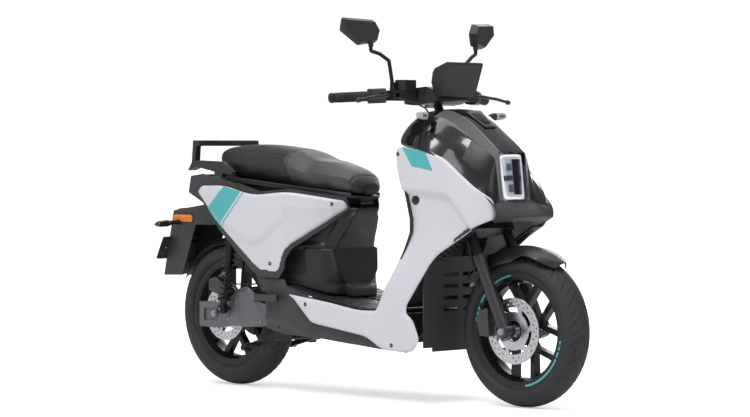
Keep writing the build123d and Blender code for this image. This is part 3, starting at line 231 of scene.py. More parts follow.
M = {
    "pale": plastic("pale_panel", PALE, 0.42, grain=420, depth=0.000008, edge=0, coat=0.25, vary=0.008),
    "teal": plastic("teal_film", TEAL, 0.34, grain=600, depth=0.00001, coat=0.3, vary=0.03),
    "gloss": plastic("gloss_black", BLACK, 0.12, grain=300, depth=0.000004, coat=1.0),
    "satin": plastic("satin_black", SATIN, 0.42, grain=1100, depth=0.00005),
    "grey": plastic("dark_grey_plastic", DARK_GREY, 0.50, grain=1000, depth=0.00006),
    "deep": plastic("deep_black", (0.008, 0.008, 0.009), 0.6, grain=900, depth=0.00004),
    "rubber": plastic("tyre_rubber", (0.022, 0.022, 0.024), 0.68, grain=700, depth=0.00012, edge=0),
    "grip": plastic("grip_rubber", (0.012, 0.012, 0.013), 0.7, grain=800, depth=0.0001),
    "rim": metal("rim_paint", (0.012, 0.012, 0.013), 0.30, metallic=0.3, grain=300),
    "disc": metal("disc_steel", (0.60, 0.60, 0.62), 0.30, grain=90, stretch=(1, 14, 1)),
    "alloy": metal("cast_alloy", (0.16, 0.16, 0.17), 0.45, grain=420, depth=0.00008, metallic=0.75),
    "fork": metal("fork_metal", (0.085, 0.085, 0.09), 0.34, grain=200, metallic=0.8),
    "chrome": metal("stanchion_chrome", (0.72, 0.72, 0.74), 0.12, grain=160, stretch=(1, 1, 0.05)),
    "steel": metal("machined_steel", (0.42, 0.42, 0.44), 0.3, grain=200),
    "black_metal": metal("black_steel", (0.012, 0.012, 0.013), 0.36, metallic=0.4),
    "seat_black": leather("seat_vinyl_black", (0.016, 0.016, 0.017), 0.5),
    "seat_grey": leather("seat_vinyl_grey", (0.055, 0.055, 0.057), 0.52),
    # painted light: the amber side reflectors are no lamps; their faint glow stands in for reflected
    # light
    "amber": glow_lens("amber_reflector_painted_glow", AMBER, 0.15, 0.2),
    "white_light": glow_lens("light_guide", (0.86, 0.87, 0.89), 0.22, 0.25),
    "red": glow_lens("red_lens", (0.5, 0.01, 0.01), 0.2, 0.15),
    "smoke": plastic("smoked_lens", (0.02, 0.018, 0.017), 0.10, grain=200, depth=0.00001, coat=1.0),
    "lamp_glass": glow_lens("frosted_lens", (0.45, 0.45, 0.46), 0.0, 0.12),
    "amber_core": glow_lens("amber_core", (0.16, 0.10, 0.07), 0.0, 0.3),
    # painted light: the reflector chamber is no lamp; its faint glow stands in for light the lens keeps
    # out in the render
    "chamber": glow_lens("lamp_reflector_painted_glow", (0.62, 0.63, 0.66), 0.16, 0.2),
    "lamp_core": glow_lens("lamp_core", (0.16, 0.165, 0.175), 0.0, 0.08),
    "window": plastic("window_black", (0.0045, 0.0045, 0.005), 0.35, grain=260, depth=0.00002),
    "lens": clear_lens("clear_lens"),
    "mirror": metal("mirror_glass", (0.85, 0.86, 0.88), 0.03, grain=20, depth=0.0, edge=0),
    "strip": ribbed("ribbed_strip", (0.105, 0.105, 0.11), 0.26, 0.0045, 0.0007, (0.62, 0.1, -0.78)),
}


def dress(node, key):
    """Give a CAD node its finish."""
    obj = NODES[node]
    obj.data.materials.clear()
    obj.data.materials.append(M[key])


# ---- Mesh helpers ---------------------------------------------------------------------------
def new_mesh(name, verts, faces, key, body, smooth=True, sharp=None):
    """Mesh object with one finish, riding on a CAD body."""
    mesh = bpy.data.meshes.new(name)
    mesh.from_pydata([tuple(map(float, v)) for v in verts], [], [tuple(f) for f in faces])
    mesh.validate()
    mesh.update()
    obj = bpy.data.objects.new(name, mesh)
    SCENE.collection.objects.link(obj)
    obj.data.materials.append(M[key])
    if smooth:
        mesh.shade_smooth()
    if sharp:
        mesh.set_sharp_from_angle(angle=math.radians(sharp))
    if body:
        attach(obj, body)
    return obj


def flip_y(obj, name, body):
    """Mirror image of a piece across the centre plane."""
    mesh = obj.data.copy()
    mesh.name = name
    mesh.transform(((1, 0, 0, 0), (0, -1, 0, 0), (0, 0, 1, 0), (0, 0, 0, 1)))
    mesh.flip_normals()
    twin = bpy.data.objects.new(name, mesh)
    SCENE.collection.objects.link(twin)
    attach(twin, body)
    return twin


def rounded(points, radius, steps=5):
    """Closed outline with its corners turned into arcs; radius may differ by corner."""
    out = []
    count = len(points)
    for i, point in enumerate(points):
        r = radius[i] if isinstance(radius, (list, tuple)) else radius
        p = np.array(point, float)
        a = np.array(points[i - 1], float) - p
        b = np.array(points[(i + 1) % count], float) - p
        la, lb = np.linalg.norm(a), np.linalg.norm(b)
        a, b = a / la, b / lb
        cut = min(r, 0.45 * la, 0.45 * lb)
        if cut < 1e-5:
            out.append(p)
            continue
        for t in np.linspace(0, 1, steps):
            out.append(p + a * cut * (1 - t) ** 2 + b * cut * t ** 2)
    return np.array(out)


def densify(points, step):
    """Closed outline with long runs divided."""
    out = []
    for i, p in enumerate(points):
        q = points[(i + 1) % len(points)]
        n = max(1, int(np.ceil(np.linalg.norm(q - p) / step)))
        out.extend(p + (q - p) * k / n for k in range(n))
    return np.array(out)


def edge_distance(grid, outline):
    """Distance of each point to a closed outline, and whether it lies inside."""
    start = outline
    run = np.roll(outline, -1, axis=0) - outline
    best = np.full(len(grid), 1e9)
    inside = np.zeros(len(grid), bool)
    for s, r in zip(start, run):
        rel = grid - s
        t = np.clip((rel @ r) / max(r @ r, 1e-12), 0, 1)
        best = np.minimum(best, np.linalg.norm(rel - t[:, None] * r, axis=1))
        if abs(r[1]) > 1e-12:
            cross = (grid[:, 1] - s[1]) / r[1]
            hit = (cross >= 0) & (cross < 1) & (s[0] + cross * r[0] > grid[:, 0])
            inside ^= hit
    return best, inside


def sheet(name, outline, surface, thickness, roll, step, key, body, plane="xz", solid=True):
    """Curved panel: an outline in a view plane, its depth from a surface function.

    The outline is filled with fine triangles, lifted to the surface, rolled inwards along its
    edge, and closed with a back face. For plane "xz" the depth is Y, and outwards is -Y.
    """
    border = densify(np.array(outline), step)
    low, high = border.min(0), border.max(0)
    xs = np.arange(low[0], high[0] + step, step)
    zs = np.arange(low[1], high[1] + step, step * 0.87)
    grid = np.array([(x + (step / 2 if j % 2 else 0), z) for j, z in enumerate(zs) for x in xs])
    dist, inside = edge_distance(grid, border)
    grid = grid[inside & (dist > step * 0.55)]
    flat = [Vector(p) for p in np.vstack([border, grid])]
    n = len(border)
    edges = [(i, (i + 1) % n) for i in range(n)]
    verts, _, faces, *_ = delaunay_2d_cdt(flat, edges, [], 1, 1e-6)
    flat = np.array([tuple(v) for v in verts])
    dist, _ = edge_distance(flat, border)
    depth = surface(flat[:, 0], flat[:, 1])
    if roll:
        near = np.clip((roll - dist) / roll, 0, 1)
        depth = depth + roll * (1 - np.sqrt(np.clip(1 - near ** 2, 0, 1)))
    front = np.column_stack([flat[:, 0], depth, flat[:, 1]])
    faces = [tuple(f) for f in faces]
    if not solid:
        return new_mesh(name, front, faces, key, body)
    back = front + np.array([0, thickness, 0])
    count = len(front)
    rim = {}
    for f in faces:
        for a, b in zip(f, f[1:] + f[:1]):
            rim[(a, b)] = rim.get((a, b), 0) + 1
    open_edges = [e for e in rim if (e[1], e[0]) not in rim]
    all_faces = faces + [tuple(i + count for i in reversed(f)) for f in faces]
    all_faces += [(b, a, a + count, b + count) for a, b in open_edges]
    obj = new_mesh(name, np.vstack([front, back]), all_faces, key, None, sharp=50)
    bm = bmesh.new()
    bm.from_mesh(obj.data)
    bmesh.ops.recalc_face_normals(bm, faces=bm.faces)
    bm.to_mesh(obj.data)
    bm.free()
    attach(obj, body)
    return obj


def grid_mesh(name, point, us, vs, key, body, close_u=False, close_v=False, thickness=0.0,
              sharp=None):
    """Surface from a function point(u, v) on a grid, optionally closed either way."""
    verts = [point(u, v) for u in us for v in vs]
    nu, nv = len(us), len(vs)
    faces = []
    for i in range(nu if close_u else nu - 1):
        for j in range(nv if close_v else nv - 1):
            a, b = i * nv + j, i * nv + (j + 1) % nv
            c, d = ((i + 1) % nu) * nv + (j + 1) % nv, ((i + 1) % nu) * nv + j
            faces.append((a, b, c, d))
    obj = new_mesh(name, verts, faces, key, None, sharp=sharp)
    if thickness:
        thick = obj.modifiers.new("thick", "SOLIDIFY")
        thick.thickness = thickness
        thick.offset = -1
        bake(obj)
    bm = bmesh.new()
    bm.from_mesh(obj.data)
    bmesh.ops.recalc_face_normals(bm, faces=bm.faces)
    bm.to_mesh(obj.data)
    bm.free()
    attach(obj, body)
    return obj


def bake(obj):
    """Apply every modifier of a piece to its mesh."""
    bpy.context.view_layer.update()
    graph = bpy.context.evaluated_depsgraph_get()
    mesh = bpy.data.meshes.new_from_object(obj.evaluated_get(graph))
    obj.modifiers.clear()
    obj.data = mesh


def pipe(name, points, radius, key, body, steps=10, ring=12, close=False):
    """Round hose or rod along a smooth line through points."""
    pts = [Vector(p) for p in points]
    line = []
    count = len(pts)
    for i in range(count if close else count - 1):
        p0 = pts[i - 1] if (i or close) else pts[0]
        p1, p2 = pts[i], pts[(i + 1) % count]
        p3 = pts[(i + 2) % count] if (close or i + 2 < count) else p2
        for s in range(steps):
            t = s / steps
            line.append(0.5 * ((2 * p1) + (p2 - p0) * t + (2 * p0 - 5 * p1 + 4 * p2 - p3) * t ** 2
                               + (3 * p1 - p0 - 3 * p2 + p3) * t ** 3))
    if not close:
        line.append(pts[-1])
    verts, faces = [], []
    up = Vector((0.13, 0.21, 0.97)).normalized()
    total = len(line)
    for i, p in enumerate(line):
        nxt = line[(i + 1) % total] if (close or i + 1 < total) else p
        prv = line[i - 1] if (close or i) else p
        run = (nxt - prv).normalized()
        side = run.cross(up).normalized()
        top = side.cross(run)
        for k in range(ring):
            a = 2 * math.pi * k / ring
            verts.append(p + (side * math.cos(a) + top * math.sin(a)) * radius)
    for i in range(total if close else total - 1):
        for k in range(ring):
            a, b = i * ring + k, i * ring + (k + 1) % ring
            j = (i + 1) % total
            faces.append((a, b, j * ring + (k + 1) % ring, j * ring + k))
    if not close:
        faces.append(tuple(range(ring))[::-1])
        faces.append(tuple((total - 1) * ring + k for k in range(ring)))
    return new_mesh(name, verts, faces, key, body, sharp=50)


def lathe(name, profile, centre, axis, key, body, count=48, sharp=35):
    """Turned piece: (radius, height) profile revolved about an axis through a centre."""
    axis = Vector(axis).normalized()
    side = axis.orthogonal().normalized()
    other = axis.cross(side)
    centre = Vector(centre)
    verts, faces = [], []
    rows = len(profile)
    for k in range(count):
        a = 2 * math.pi * k / count
        out = side * math.cos(a) + other * math.sin(a)
        verts.extend(centre + out * r + axis * h for r, h in profile)
    for k in range(count):
        n = (k + 1) % count
        for j in range(rows - 1):
            faces.append((k * rows + j, n * rows + j, n * rows + j + 1, k * rows + j + 1))
    faces.append(tuple(k * rows for k in range(count))[::-1])
    faces.append(tuple(k * rows + rows - 1 for k in range(count)))
    return new_mesh(name, verts, faces, key, body, sharp=sharp)


# ---- Finishes of the CAD nodes that stay as they are -----------------------------------------
FINISH = {
    "black_metal": ["main_frame", "steering_stem", "handlebar", "mirror_stems", "centre_stand",
                    "side_stand", "shock_rods", "shock_bodies"],
    "satin": ["bar_cover", "display", "switch_housings", "inner_apron", "floorboard", "seat_pan",
              "storage_tub", "grab_rail", "hugger", "front_brake_lever", "rear_brake_lever",
              "start_button", "turn_switch", "seat_base_cover", "mirror_head_left",
              "mirror_head_right", "battery_pack", "headlight"],
    "grey": ["tail_trim", "rear_fender", "front_cowl", "lower_covers"],
    "fork": ["fork_lowers", "front_caliper", "rear_caliper", "peg_left", "peg_right"],
    "alloy": ["swingarm", "motor", "motor_pulley", "rear_pulley"],
    "disc": ["front_disc", "rear_disc"],
    "rim": ["front_rim", "rear_rim"],
    "steel": ["front_axle", "rear_axle", "front_bearings", "rear_bearings", "steering_bearings"],
    "grip": ["drive_belt"],
}
for key, names in FINISH.items():
    for node in names:
        dress(node, key)


# ---- Side panels ---------------------------------------------------------------------------
def soft_line(points, spread):
    """Depth along a plan line (x, y), with its corners eased over a spread."""
    xs, ys = zip(*sorted(points))
    shifts = np.linspace(-spread, spread, 11)
    return lambda x: sum(np.interp(x + s, xs, ys) for s in shifts) / len(shifts)


def smooth(t):
    """Smooth step from 0 to 1."""
    t = np.clip(t, 0, 1)
    return t * t * (3 - 2 * t)


def line_distance(x, z, points):
    """Distance to an open line, and which side of it a point is on (positive to the left)."""
    best = np.full(np.shape(x), 1e9)
    sign = np.ones(np.shape(x))
    for (ax, az), (bx, bz) in zip(points, points[1:]):
        rx, rz = bx - ax, bz - az
        t = np.clip(((x - ax) * rx + (z - az) * rz) / (rx * rx + rz * rz), 0, 1)
        d = np.hypot(x - ax - t * rx, z - az - t * rz)
        cross = rx * (z - az) - rz * (x - ax)
        nearer = d < best
        best = np.where(nearer, d, best)
        sign = np.where(nearer, np.sign(cross), sign)
    return best, sign


SHIELD_PLAN = soft_line([(-0.26, -0.211), (0.15, -0.214), (0.34, -0.212), (0.48, -0.203),
                         (0.605, -0.189), (0.668, -0.148), (0.70, -0.110)], 0.022)
SHIELD_FOLD = [(0.455, 0.86), (0.481, 0.801), (0.517, 0.709), (0.592, 0.618), (0.66, 0.52)]
SHIELD_STEP = [(0.20, 0.722), (0.346, 0.724), (0.517, 0.709)]
SHIELD_WAIST = [(0.20, 0.40), (0.30, 0.36), (0.40, 0.19)]


def shield_y(x, z):
    """Right side of the leg shield: a raised upper panel, a hollow below it, a folded front."""
    y = SHIELD_PLAN(x)
    dist, side = line_distance(x, z, SHIELD_FOLD)
    ahead = np.where(side > 0, dist, 0)
    y = y + 0.16 * np.sqrt(ahead ** 2 + 0.00006) * smooth((z - 0.50) / 0.1) - 0.0012
    behind = np.where(side > 0, 0, dist)
    step, above = line_distance(x, z, SHIELD_STEP)
    below = np.where(above > 0, -step, step)
    hollow = smooth((below + 0.004) / 0.034) * smooth(behind / 0.030)
    fade = smooth((z - 0.36) / 0.26)
    y = y + 0.018 * hollow * fade
    waist, _ = line_distance(x, z, SHIELD_WAIST)
    return y - 0.006 * np.exp(-(waist / 0.055) ** 2)


SHIELD = [(.291, .857), (.330, .861), (.428, .842), (.486, .829), (.592, .739), (.655, .688),
          (.668, .628), (.602, .593), (.459, .503), (.432, .475), (.340, .333), (.338, .306),
          (.368, .283), (.396, .217), (.368, .178), (.300, .175), (.222, .180), (.155, .220),
          (-.083, .252), (-.114, .259), (-.195, .334), (-.222, .350), (-.038, .330),
          (.117, .307), (.198, .309), (.209, .325), (.265, .423), (.317, .520), (.342, .576),
          (.342, .621), (.324, .690), (.295, .784)]
SHIELD_R = [.014, .02, .03, .03, .03, .012, .012, .03, .02, .02, .012, .012, .02, .016, .02, .02,
            .03, .03, .02, .02, .01, .006, .04, .04, .012, .012, .03, .03, .03, .03, .04, .05]

REAR_PLAN = soft_line([(-.04, -.070), (-.062, -.086), (-.150, -.142), (-.262, -.197),
                       (-.35, -.203), (-.58, -.190), (-.80, -.156)], 0.018)
REAR = [(-.061, .649), (-.070, .674), (-.167, .692), (-.247, .704), (-.376, .693), (-.436, .697),
        (-.560, .724), (-.690, .722), (-.722, .699), (-.580, .573), (-.406, .442), (-.377, .426),
        (-.296, .421), (-.281, .439), (-.272, .474), (-.244, .520), (-.131, .596)]
REAR_R = [.010, .014, .03, .03, .03, .03, .04, .012, .010, .04, .02, .014, .012, .012, .03, .02,
          .03]
PLATEAU = np.array([(-.62, .80), (-.30, .80), (-.263, .655), (-.271, .622), (-.373, .546),
                    (-.419, .540), (-.455, .552), (-.60, .622), (-.72, .72)])
SPEAR = [(-.266, .652), (-.11, .648)]


def rear_y(x, z):
    """Right side panel: a raised field with soft slopes, and a fold running to the front tip."""
    y = REAR_PLAN(x)
    points = np.column_stack([np.ravel(x), np.ravel(z)])
    dist, inside = edge_distance(points, PLATEAU)
    lift = np.where(inside, 1.0, 1 - smooth(dist / 0.034)).reshape(np.shape(x))
    fold, side = line_distance(x, z, SPEAR)
    ahead = smooth((x + 0.285) / 0.03) * smooth((-.07 - x) / 0.03)
    ridge = np.where(side > 0, np.exp(-fold / 0.04), np.exp(-fold / 0.030))
    low = np.clip((.60 - z) / .18, 0, 1)
    return y - 0.0105 * lift - 0.0075 * ridge * ahead * (1 - lift) + 0.006 * low * (1 - lift)


LOWER_PLAN = soft_line([(-.50, -.168), (-.38, -.186), (-.20, -.199), (0, -.205), (.345, -.205)],
                       0.03)
LOWER = [(-.478, .500), (-.371, .324), (-.361, .282), (-.376, .224), (-.282, .206), (-.087, .203),
         (.198, .179), (.330, .172), (.330, .296), (.180, .300), (.046, .305), (-.107, .336),
         (-.250, .372), (-.268, .400), (-.384, .404), (-.420, .420)]
LOWER_FOLD = [(-.36, .262), (-.232, .252), (-.111, .202), (.05, .19)]


def lower_y(x, z):
    """Right lower cover: a fold low down, sloping in above and tucking under below it."""
    y = LOWER_PLAN(x)
    fold, side = line_distance(x, z, LOWER_FOLD)
    above = np.where(side > 0, fold, 0)
    below = np.where(side > 0, 0, fold)
    return y + 0.003 + 0.10 * np.minimum(above, 0.05) + 0.42 * below


def both_sides(name, *args, body="chassis", **kwargs):
    """A right-hand sheet and its mirror image."""
    right = sheet(name + "_right", *args, body, **kwargs)
    return right, flip_y(right, name + "_left", body)


for piece in both_sides("shield", rounded(SHIELD, SHIELD_R), shield_y, 0.0028, 0.0045, 0.006,
                        "pale"):
    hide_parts("shield_panels")
for piece in both_sides("side_panel", rounded(REAR, REAR_R), rear_y, 0.0028, 0.0055, 0.006,
                        "pale"):
    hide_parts("side_panels")
for piece in both_sides("lower_cover", rounded(LOWER, 0.008), lower_y, 0.003, 0.003, 0.007,
                        "grey"):
    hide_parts("lower_covers")


def film(name, outline, surface, key, corner=0.002):
    """Thin stick-on film that follows a panel."""
    both_sides(name, rounded(outline, corner), lambda x, z: surface(x, z) - 0.0005, 0.0011, 0.0002,
               0.005, key)


film("shield_patch", [(.320, .861), (.420, .844), (.452, .781), (.362, .797)], shield_y, "teal")
film("side_band", [(-.553, .7215), (-.462, .7035), (-.585, .5795), (-.655, .6400)], rear_y, "teal")
film("side_rule", [(-.452, .7012), (-.447, .7000), (-.575, .5710), (-.580, .5755)], rear_y, "teal",
     0.0004)


# ---- Screws and badge -----------------------------------------------------------------------
SCREW = [(0.0, -0.004), (0.0068, -0.004), (0.0068, 0.0008), (0.0055, 0.0018), (0.0030, 0.0018),
         (0.0028, -0.0008), (0.0, -0.0008)]


def screws(name, places, surface, size=1.0, key="black_metal"):
    """Button-head screws sunk into a panel, on both sides."""
    for i, (x, z) in enumerate(places):
        at = float(surface(np.array([x]), np.array([z]))[0])
        for side in (-1, 1):
            profile = [(r * size, h * size) for r, h in SCREW]
            tag = f"{name}_{i}_{'left' if side > 0 else 'right'}"
            lathe(tag, profile, (x, -side * at, z), (0, side, 0), key, "chassis", count=20)


screws("shield_screw", [(.301, .837), (.273, .196), (-.135, .318)], shield_y)
screws("panel_screw", [(-.104, .663), (-.326, .453)], rear_y)
screws("cover_screw", [(-.392, .372), (-.30, .230)], lower_y, 0.8)

BADGE = [(0.0, -0.003), (0.0165, -0.003), (0.0165, 0.0008), (0.0150, 0.0016), (0.0125, 0.0016),
         (0.0118, 0.0006), (0.0, 0.0010)]
for side in (-1, 1):
    x, z = .364, .684
    at = float(shield_y(np.array([x]), np.array([z]))[0])
    tag = "badge_left" if side > 0 else "badge_right"
    lathe(tag, BADGE, (x, -side * at, z), (0.06, side, -0.02), "gloss", "chassis", count=40)


# ---- Nose cover ----------------------------------------------------------------------------
NOSE_ROWS = [
    [(.300, 0, .985), (.300, .060, .982), (.298, .110, .962), (.296, .165, .925), (.290, .206, .866)],
    [(.375, 0, .993), (.378, .070, .989), (.380, .118, .968), (.375, .172, .915), (.365, .208, .858)],
    [(.440, 0, .986), (.445, .070, .979), (.452, .112, .950), (.455, .165, .890), (.455, .205, .838)],
    [(.530, 0, .925), (.530, .064, .918), (.535, .098, .885), (.535, .150, .815), (.525, .192, .793)],
    [(.598, 0, .872), (.598, .066, .866), (.600, .086, .845), (.592, .128, .770), (.590, .172, .741)],
    [(.622, 0, .846), (.622, .066, .842), (.618, .080, .820), (.615, .120, .720), (.640, .152, .697)],
    [(.640, 0, .682), (.640, .064, .680), (.634, .078, .684), (.645, .112, .668), (.672, .144, .668)],
    [(.672, 0, .657), (.672, .070, .656), (.668, .095, .656), (.672, .120, .652), (.680, .146, .650)],
    [(.694, 0, .632), (.692, .070, .631), (.688, .100, .630), (.684, .125, .628), (.678, .146, .627)],
    [(.676, 0, .616), (.674, .070, .615), (.670, .098, .614), (.664, .122, .612), (.655, .140, .611)],
]


def nose_finish(row, col):
    """Finish of a nose face: ribbed reflective strip, window panel, textured chin, else gloss."""
    if row >= 6:
        return "grey"
    if col == 1 and row >= 1:
        return "strip"
    if col == 2 and row >= 3:
        return "window"
    return "gloss"


def build_nose():
    """Nose shell as a subdivision surface, mirrored, with a hole for the headlight."""
    bm = bmesh.new()
    crease = bm.edges.layers.float.new("crease_edge")
    keys = ["gloss", "strip", "grey", "window"]
    grid = {}
    for side in (1, -1):
        for i, row in enumerate(NOSE_ROWS):
            for j, (x, y, z) in enumerate(row):
                if j == 0 and side < 0:
                    grid[(i, 0, -1)] = grid[(i, 0, 1)]
                else:
                    grid[(i, j, side)] = bm.verts.new((x, y * side, z))
    for side in (1, -1):
        for i in range(len(NOSE_ROWS) - 1):
            for j in range(4):
                if i == 5 and j == 0:
                    continue
                quad = [grid[(i, j, side)], grid[(i + 1, j, side)], grid[(i + 1, j + 1, side)],
                        grid[(i, j + 1, side)]]
                face = bm.faces.new(quad if side > 0 else quad[::-1])
                face.material_index = keys.index(nose_finish(i, j))
                face.smooth = True
    sharp = {(1, 0.65), (2, 0.75), (3, 0.55)}
    for side in (1, -1):
        for col, weight in sharp:
            for i in range(len(NOSE_ROWS) - 1):
                edge = bm.edges.get((grid[(i, col, side)], grid[(i + 1, col, side)]))
                if edge:
                    edge[crease] = weight if i else 0.2
        for row, weight in ((5, 0.9), (6, 0.95), (8, 0.9)):
            for j in range(4):
                edge = bm.edges.get((grid[(row, j, side)], grid[(row, j + 1, side)]))
                if edge:
                    edge[crease] = weight
    mesh = bpy.data.meshes.new("nose")
    bm.to_mesh(mesh)
    bm.free()
    nose = bpy.data.objects.new("nose", mesh)
    SCENE.collection.objects.link(nose)
    for key in keys:
        mesh.materials.append(M[key])
    subdivide = nose.modifiers.new("subdivide", "SUBSURF")
    subdivide.levels = subdivide.render_levels = 3
    wall = nose.modifiers.new("wall", "SOLIDIFY")
    wall.thickness = 0.003
    wall.offset = -1
    bake(nose)
    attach(nose, "chassis")
    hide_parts("nose_cover")


build_nose()


# ---- Wheels --------------------------------------------------------------------------------
def tyre_profile(radius, half):
    """Half section of a tyre's outer surface: (lateral, radius) from crown to bead."""
    seat = 0.178
    deep = radius - seat
    shape = [(0, 1.0), (0.28, 0.982), (0.55, 0.905), (0.80, 0.775), (0.96, 0.60), (1.02, 0.44),
             (0.98, 0.32), (0.88, 0.23), (0.74, 0.172)]
    outer = np.array([(half * l, seat + deep * h) for l, h in shape])
    for _ in range(3):
        cut = np.empty((2 * len(outer) - 2, 2))
        cut[0::2] = outer[:-1] * 0.75 + outer[1:] * 0.25
        cut[1::2] = outer[:-1] * 0.25 + outer[1:] * 0.75
        outer = np.vstack([outer[:1], cut[1:-1], outer[-1:]])
    outer = [tuple(p) for p in outer]
    return outer


def build_tyre(name, body, centre, radius, half, pitch_count, node):
    """Tyre with a cut tread: curved diagonal grooves, shoulder sipes and bead rings."""
    outer = tyre_profile(radius, half)
    full = [(-l, r) for l, r in reversed(outer)] + outer[1:]
    run = [0.0]
    for (l0, r0), (l1, r1) in zip(full, full[1:]):
        run.append(run[-1] + math.hypot(l1 - l0, r1 - r0))
    samples = 72
    marks = np.linspace(0, run[-1], samples)
    lats = np.interp(marks, run, [l for l, r in full])
    rads = np.interp(marks, run, [r for l, r in full])
    arc = marks - run[-1] / 2
    turns = 660
    angles = np.linspace(0, 2 * math.pi, turns, endpoint=False)
    aa, ll = np.meshgrid(angles, arc, indexing="ij")
    side = np.sign(ll)
    reach = np.abs(ll)
    crown = half * 1.02
    sweep = aa * pitch_count / (2 * math.pi) + side * 0.25
    long_phase = (sweep + 0.95 * (reach / crown) ** 0.75) % 1
    short_phase = (sweep + 0.5 + 0.95 * (reach / crown) ** 0.75) % 1
    width = 0.052

    def cut(phase, low, high):
        near = np.minimum(phase, 1 - phase) / width
        ends = smooth((reach - low) / 0.005) * smooth((high - reach) / 0.005)
        return smooth(1.35 - near) * ends

    groove = np.maximum(cut(long_phase, 0.005, crown * 0.98), cut(short_phase, 0.022, crown * 0.86))
    sink = 0.0032 * groove
    rr = rads[None, :] - sink
    bead_lat, bead_rad = lats[-1], rads[-1]
    inner = [(bead_lat, 0.1795), (bead_lat - 0.007, 0.1795), (bead_lat - 0.007, 0.192),
             (half * 0.80, 0.205), (half * 0.72, radius - 0.024), (half * 0.3, radius - 0.013)]
    inner = inner + [(-l, r) for l, r in reversed(inner)]
    count = samples + len(inner)
    verts = []
    for i, a in enumerate(angles):
        ca, sa = math.cos(a), math.sin(a)
        for j in range(samples):
            r = rr[i, j]
            verts.append((centre[0] + r * ca, lats[j], centre[1] + r * sa))
        for l, r in inner:
            verts.append((centre[0] + r * ca, l, centre[1] + r * sa))
    faces = []
    for i in range(turns):
        n = (i + 1) % turns
        for j in range(count):
            k = (j + 1) % count
            faces.append((i * count + j, i * count + k, n * count + k, n * count + j))
    tyre = new_mesh(name, verts, faces, "rubber", body, sharp=42)
    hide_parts(node)


FRONT = (0.6825, 0.255)
REAR_AXLE = (-0.6825, 0.262)
build_tyre("front_tread", "front_wheel", FRONT, 0.2548, 0.0545, 24, "front_tyre")
build_tyre("rear_tread", "rear_wheel", REAR_AXLE, 0.2618, 0.0595, 25, "rear_tyre")


def arc_band(name, centre, radii, lateral, angles, key, body, step=2.5):
    """Flat ring segment with closed edges, in the plane of a wheel."""
    count = max(2, int(abs(angles[1] - angles[0]) / step) + 1)
    verts, faces = [], []
    for a in np.radians(np.linspace(angles[0], angles[1], count)):
        for r, y in ((radii[0], lateral[0]), (radii[1], lateral[0]), (radii[1], lateral[1]),
                     (radii[0], lateral[1])):
            verts.append((centre[0] + r * math.cos(a), y, centre[1] + r * math.sin(a)))
    for i in range(count - 1):
        for k in range(4):
            a, b = i * 4 + k, i * 4 + (k + 1) % 4
            faces.append((a, b, b + 4, a + 4))
    faces.append((3, 2, 1, 0))
    faces.append(tuple((count - 1) * 4 + k for k in range(4)))
    return new_mesh(name, verts, faces, key, body, sharp=30)


STRIPES = [(100, 152), (154, 160), (162, 166), (168, 172), (-80, -28), (-26, -20), (-18, -14),
           (-12, -8)]
for wheel, centre, body, half in (("front", FRONT, "front_wheel", 0.040),
                                  ("rear", REAR_AXLE, "rear_wheel", 0.043)):
    for side in (-1, 1):
        for i, (start, end) in enumerate(STRIPES):
            low, high = side * (half - 0.0004), side * (half + 0.0007)
            tag = f"{wheel}_stripe_{i}_{'left' if side > 0 else 'right'}"
            arc_band(tag, centre, (0.1802, 0.1868), (low, high), (start, end), "teal", body)

# ---- Mudguards -----------------------------------------------------------------------------
def guard(name, centre, span, radius, half, skirt, key, body, node, nose=14, thickness=0.0028):
    """Mudguard: a crowned shell round a wheel, narrowing to its front tip, with side skirts."""
    def point(t, v):
        width = half * min(1.0, 0.30 + ((t - span[0]) / nose) ** 0.6) if t > span[0] else half * 0.3
        a = math.radians(t)
        drop = skirt(t) * abs(v) ** 4 + 0.010 * abs(v) ** 2.2
        ridge = 0.0022 * math.exp(-(v / 0.16) ** 2)
        r = radius - drop + ridge
        shoulder = width * (abs(v) ** 0.86) * (1 if v > 0 else -1)
        return (centre[0] + r * math.cos(a), shoulder, centre[1] + r * math.sin(a))

    piece = grid_mesh(name, point, np.linspace(span[0], span[1], 64), np.linspace(-1, 1, 41), key,
                      body, thickness=thickness, sharp=45)
    if node:
        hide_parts(node)
    return piece


def front_skirt(t):
    """Depth of the front guard's sides: deep where it bolts to the fork legs."""
    return 0.014 + 0.030 * float(smooth((t - 78) / 18)) * float(smooth((134 - t) / 14))


guard("front_guard", FRONT, (54, 140), 0.2790, 0.0700, front_skirt, "satin", "fork_lower",
      "front_fender", nose=26)


# ---- Seat ----------------------------------------------------------------------------------
SEAT_TOP = [(-.722, .846), (-.700, .860), (-.600, .865), (-.450, .857), (-.345, .846),
            (-.300, .832), (-.2375, .806), (-.1500, .795), (-.0800, .782), (-.045, .762),
            (-.018, .730)]
SEAT_LOW = [(-.722, .806), (-.670, .768), (-.560, .742), (-.324, .721), (-.10, .698),
            (-.018, .688)]
SEAT_HALF = [(-.722, .058), (-.700, .084), (-.670, .103), (-.600, .124), (-.540, .131),
             (-.350, .136), (-.200, .123), (-.100, .104), (-.045, .078), (-.028, .060),
             (-.018, .040)]
SHRINK = 0.004


def along(x, table):
    """Value of a table of (x, value) pairs at x."""
    return float(np.interp(x, [p[0] for p in table], [p[1] for p in table]))


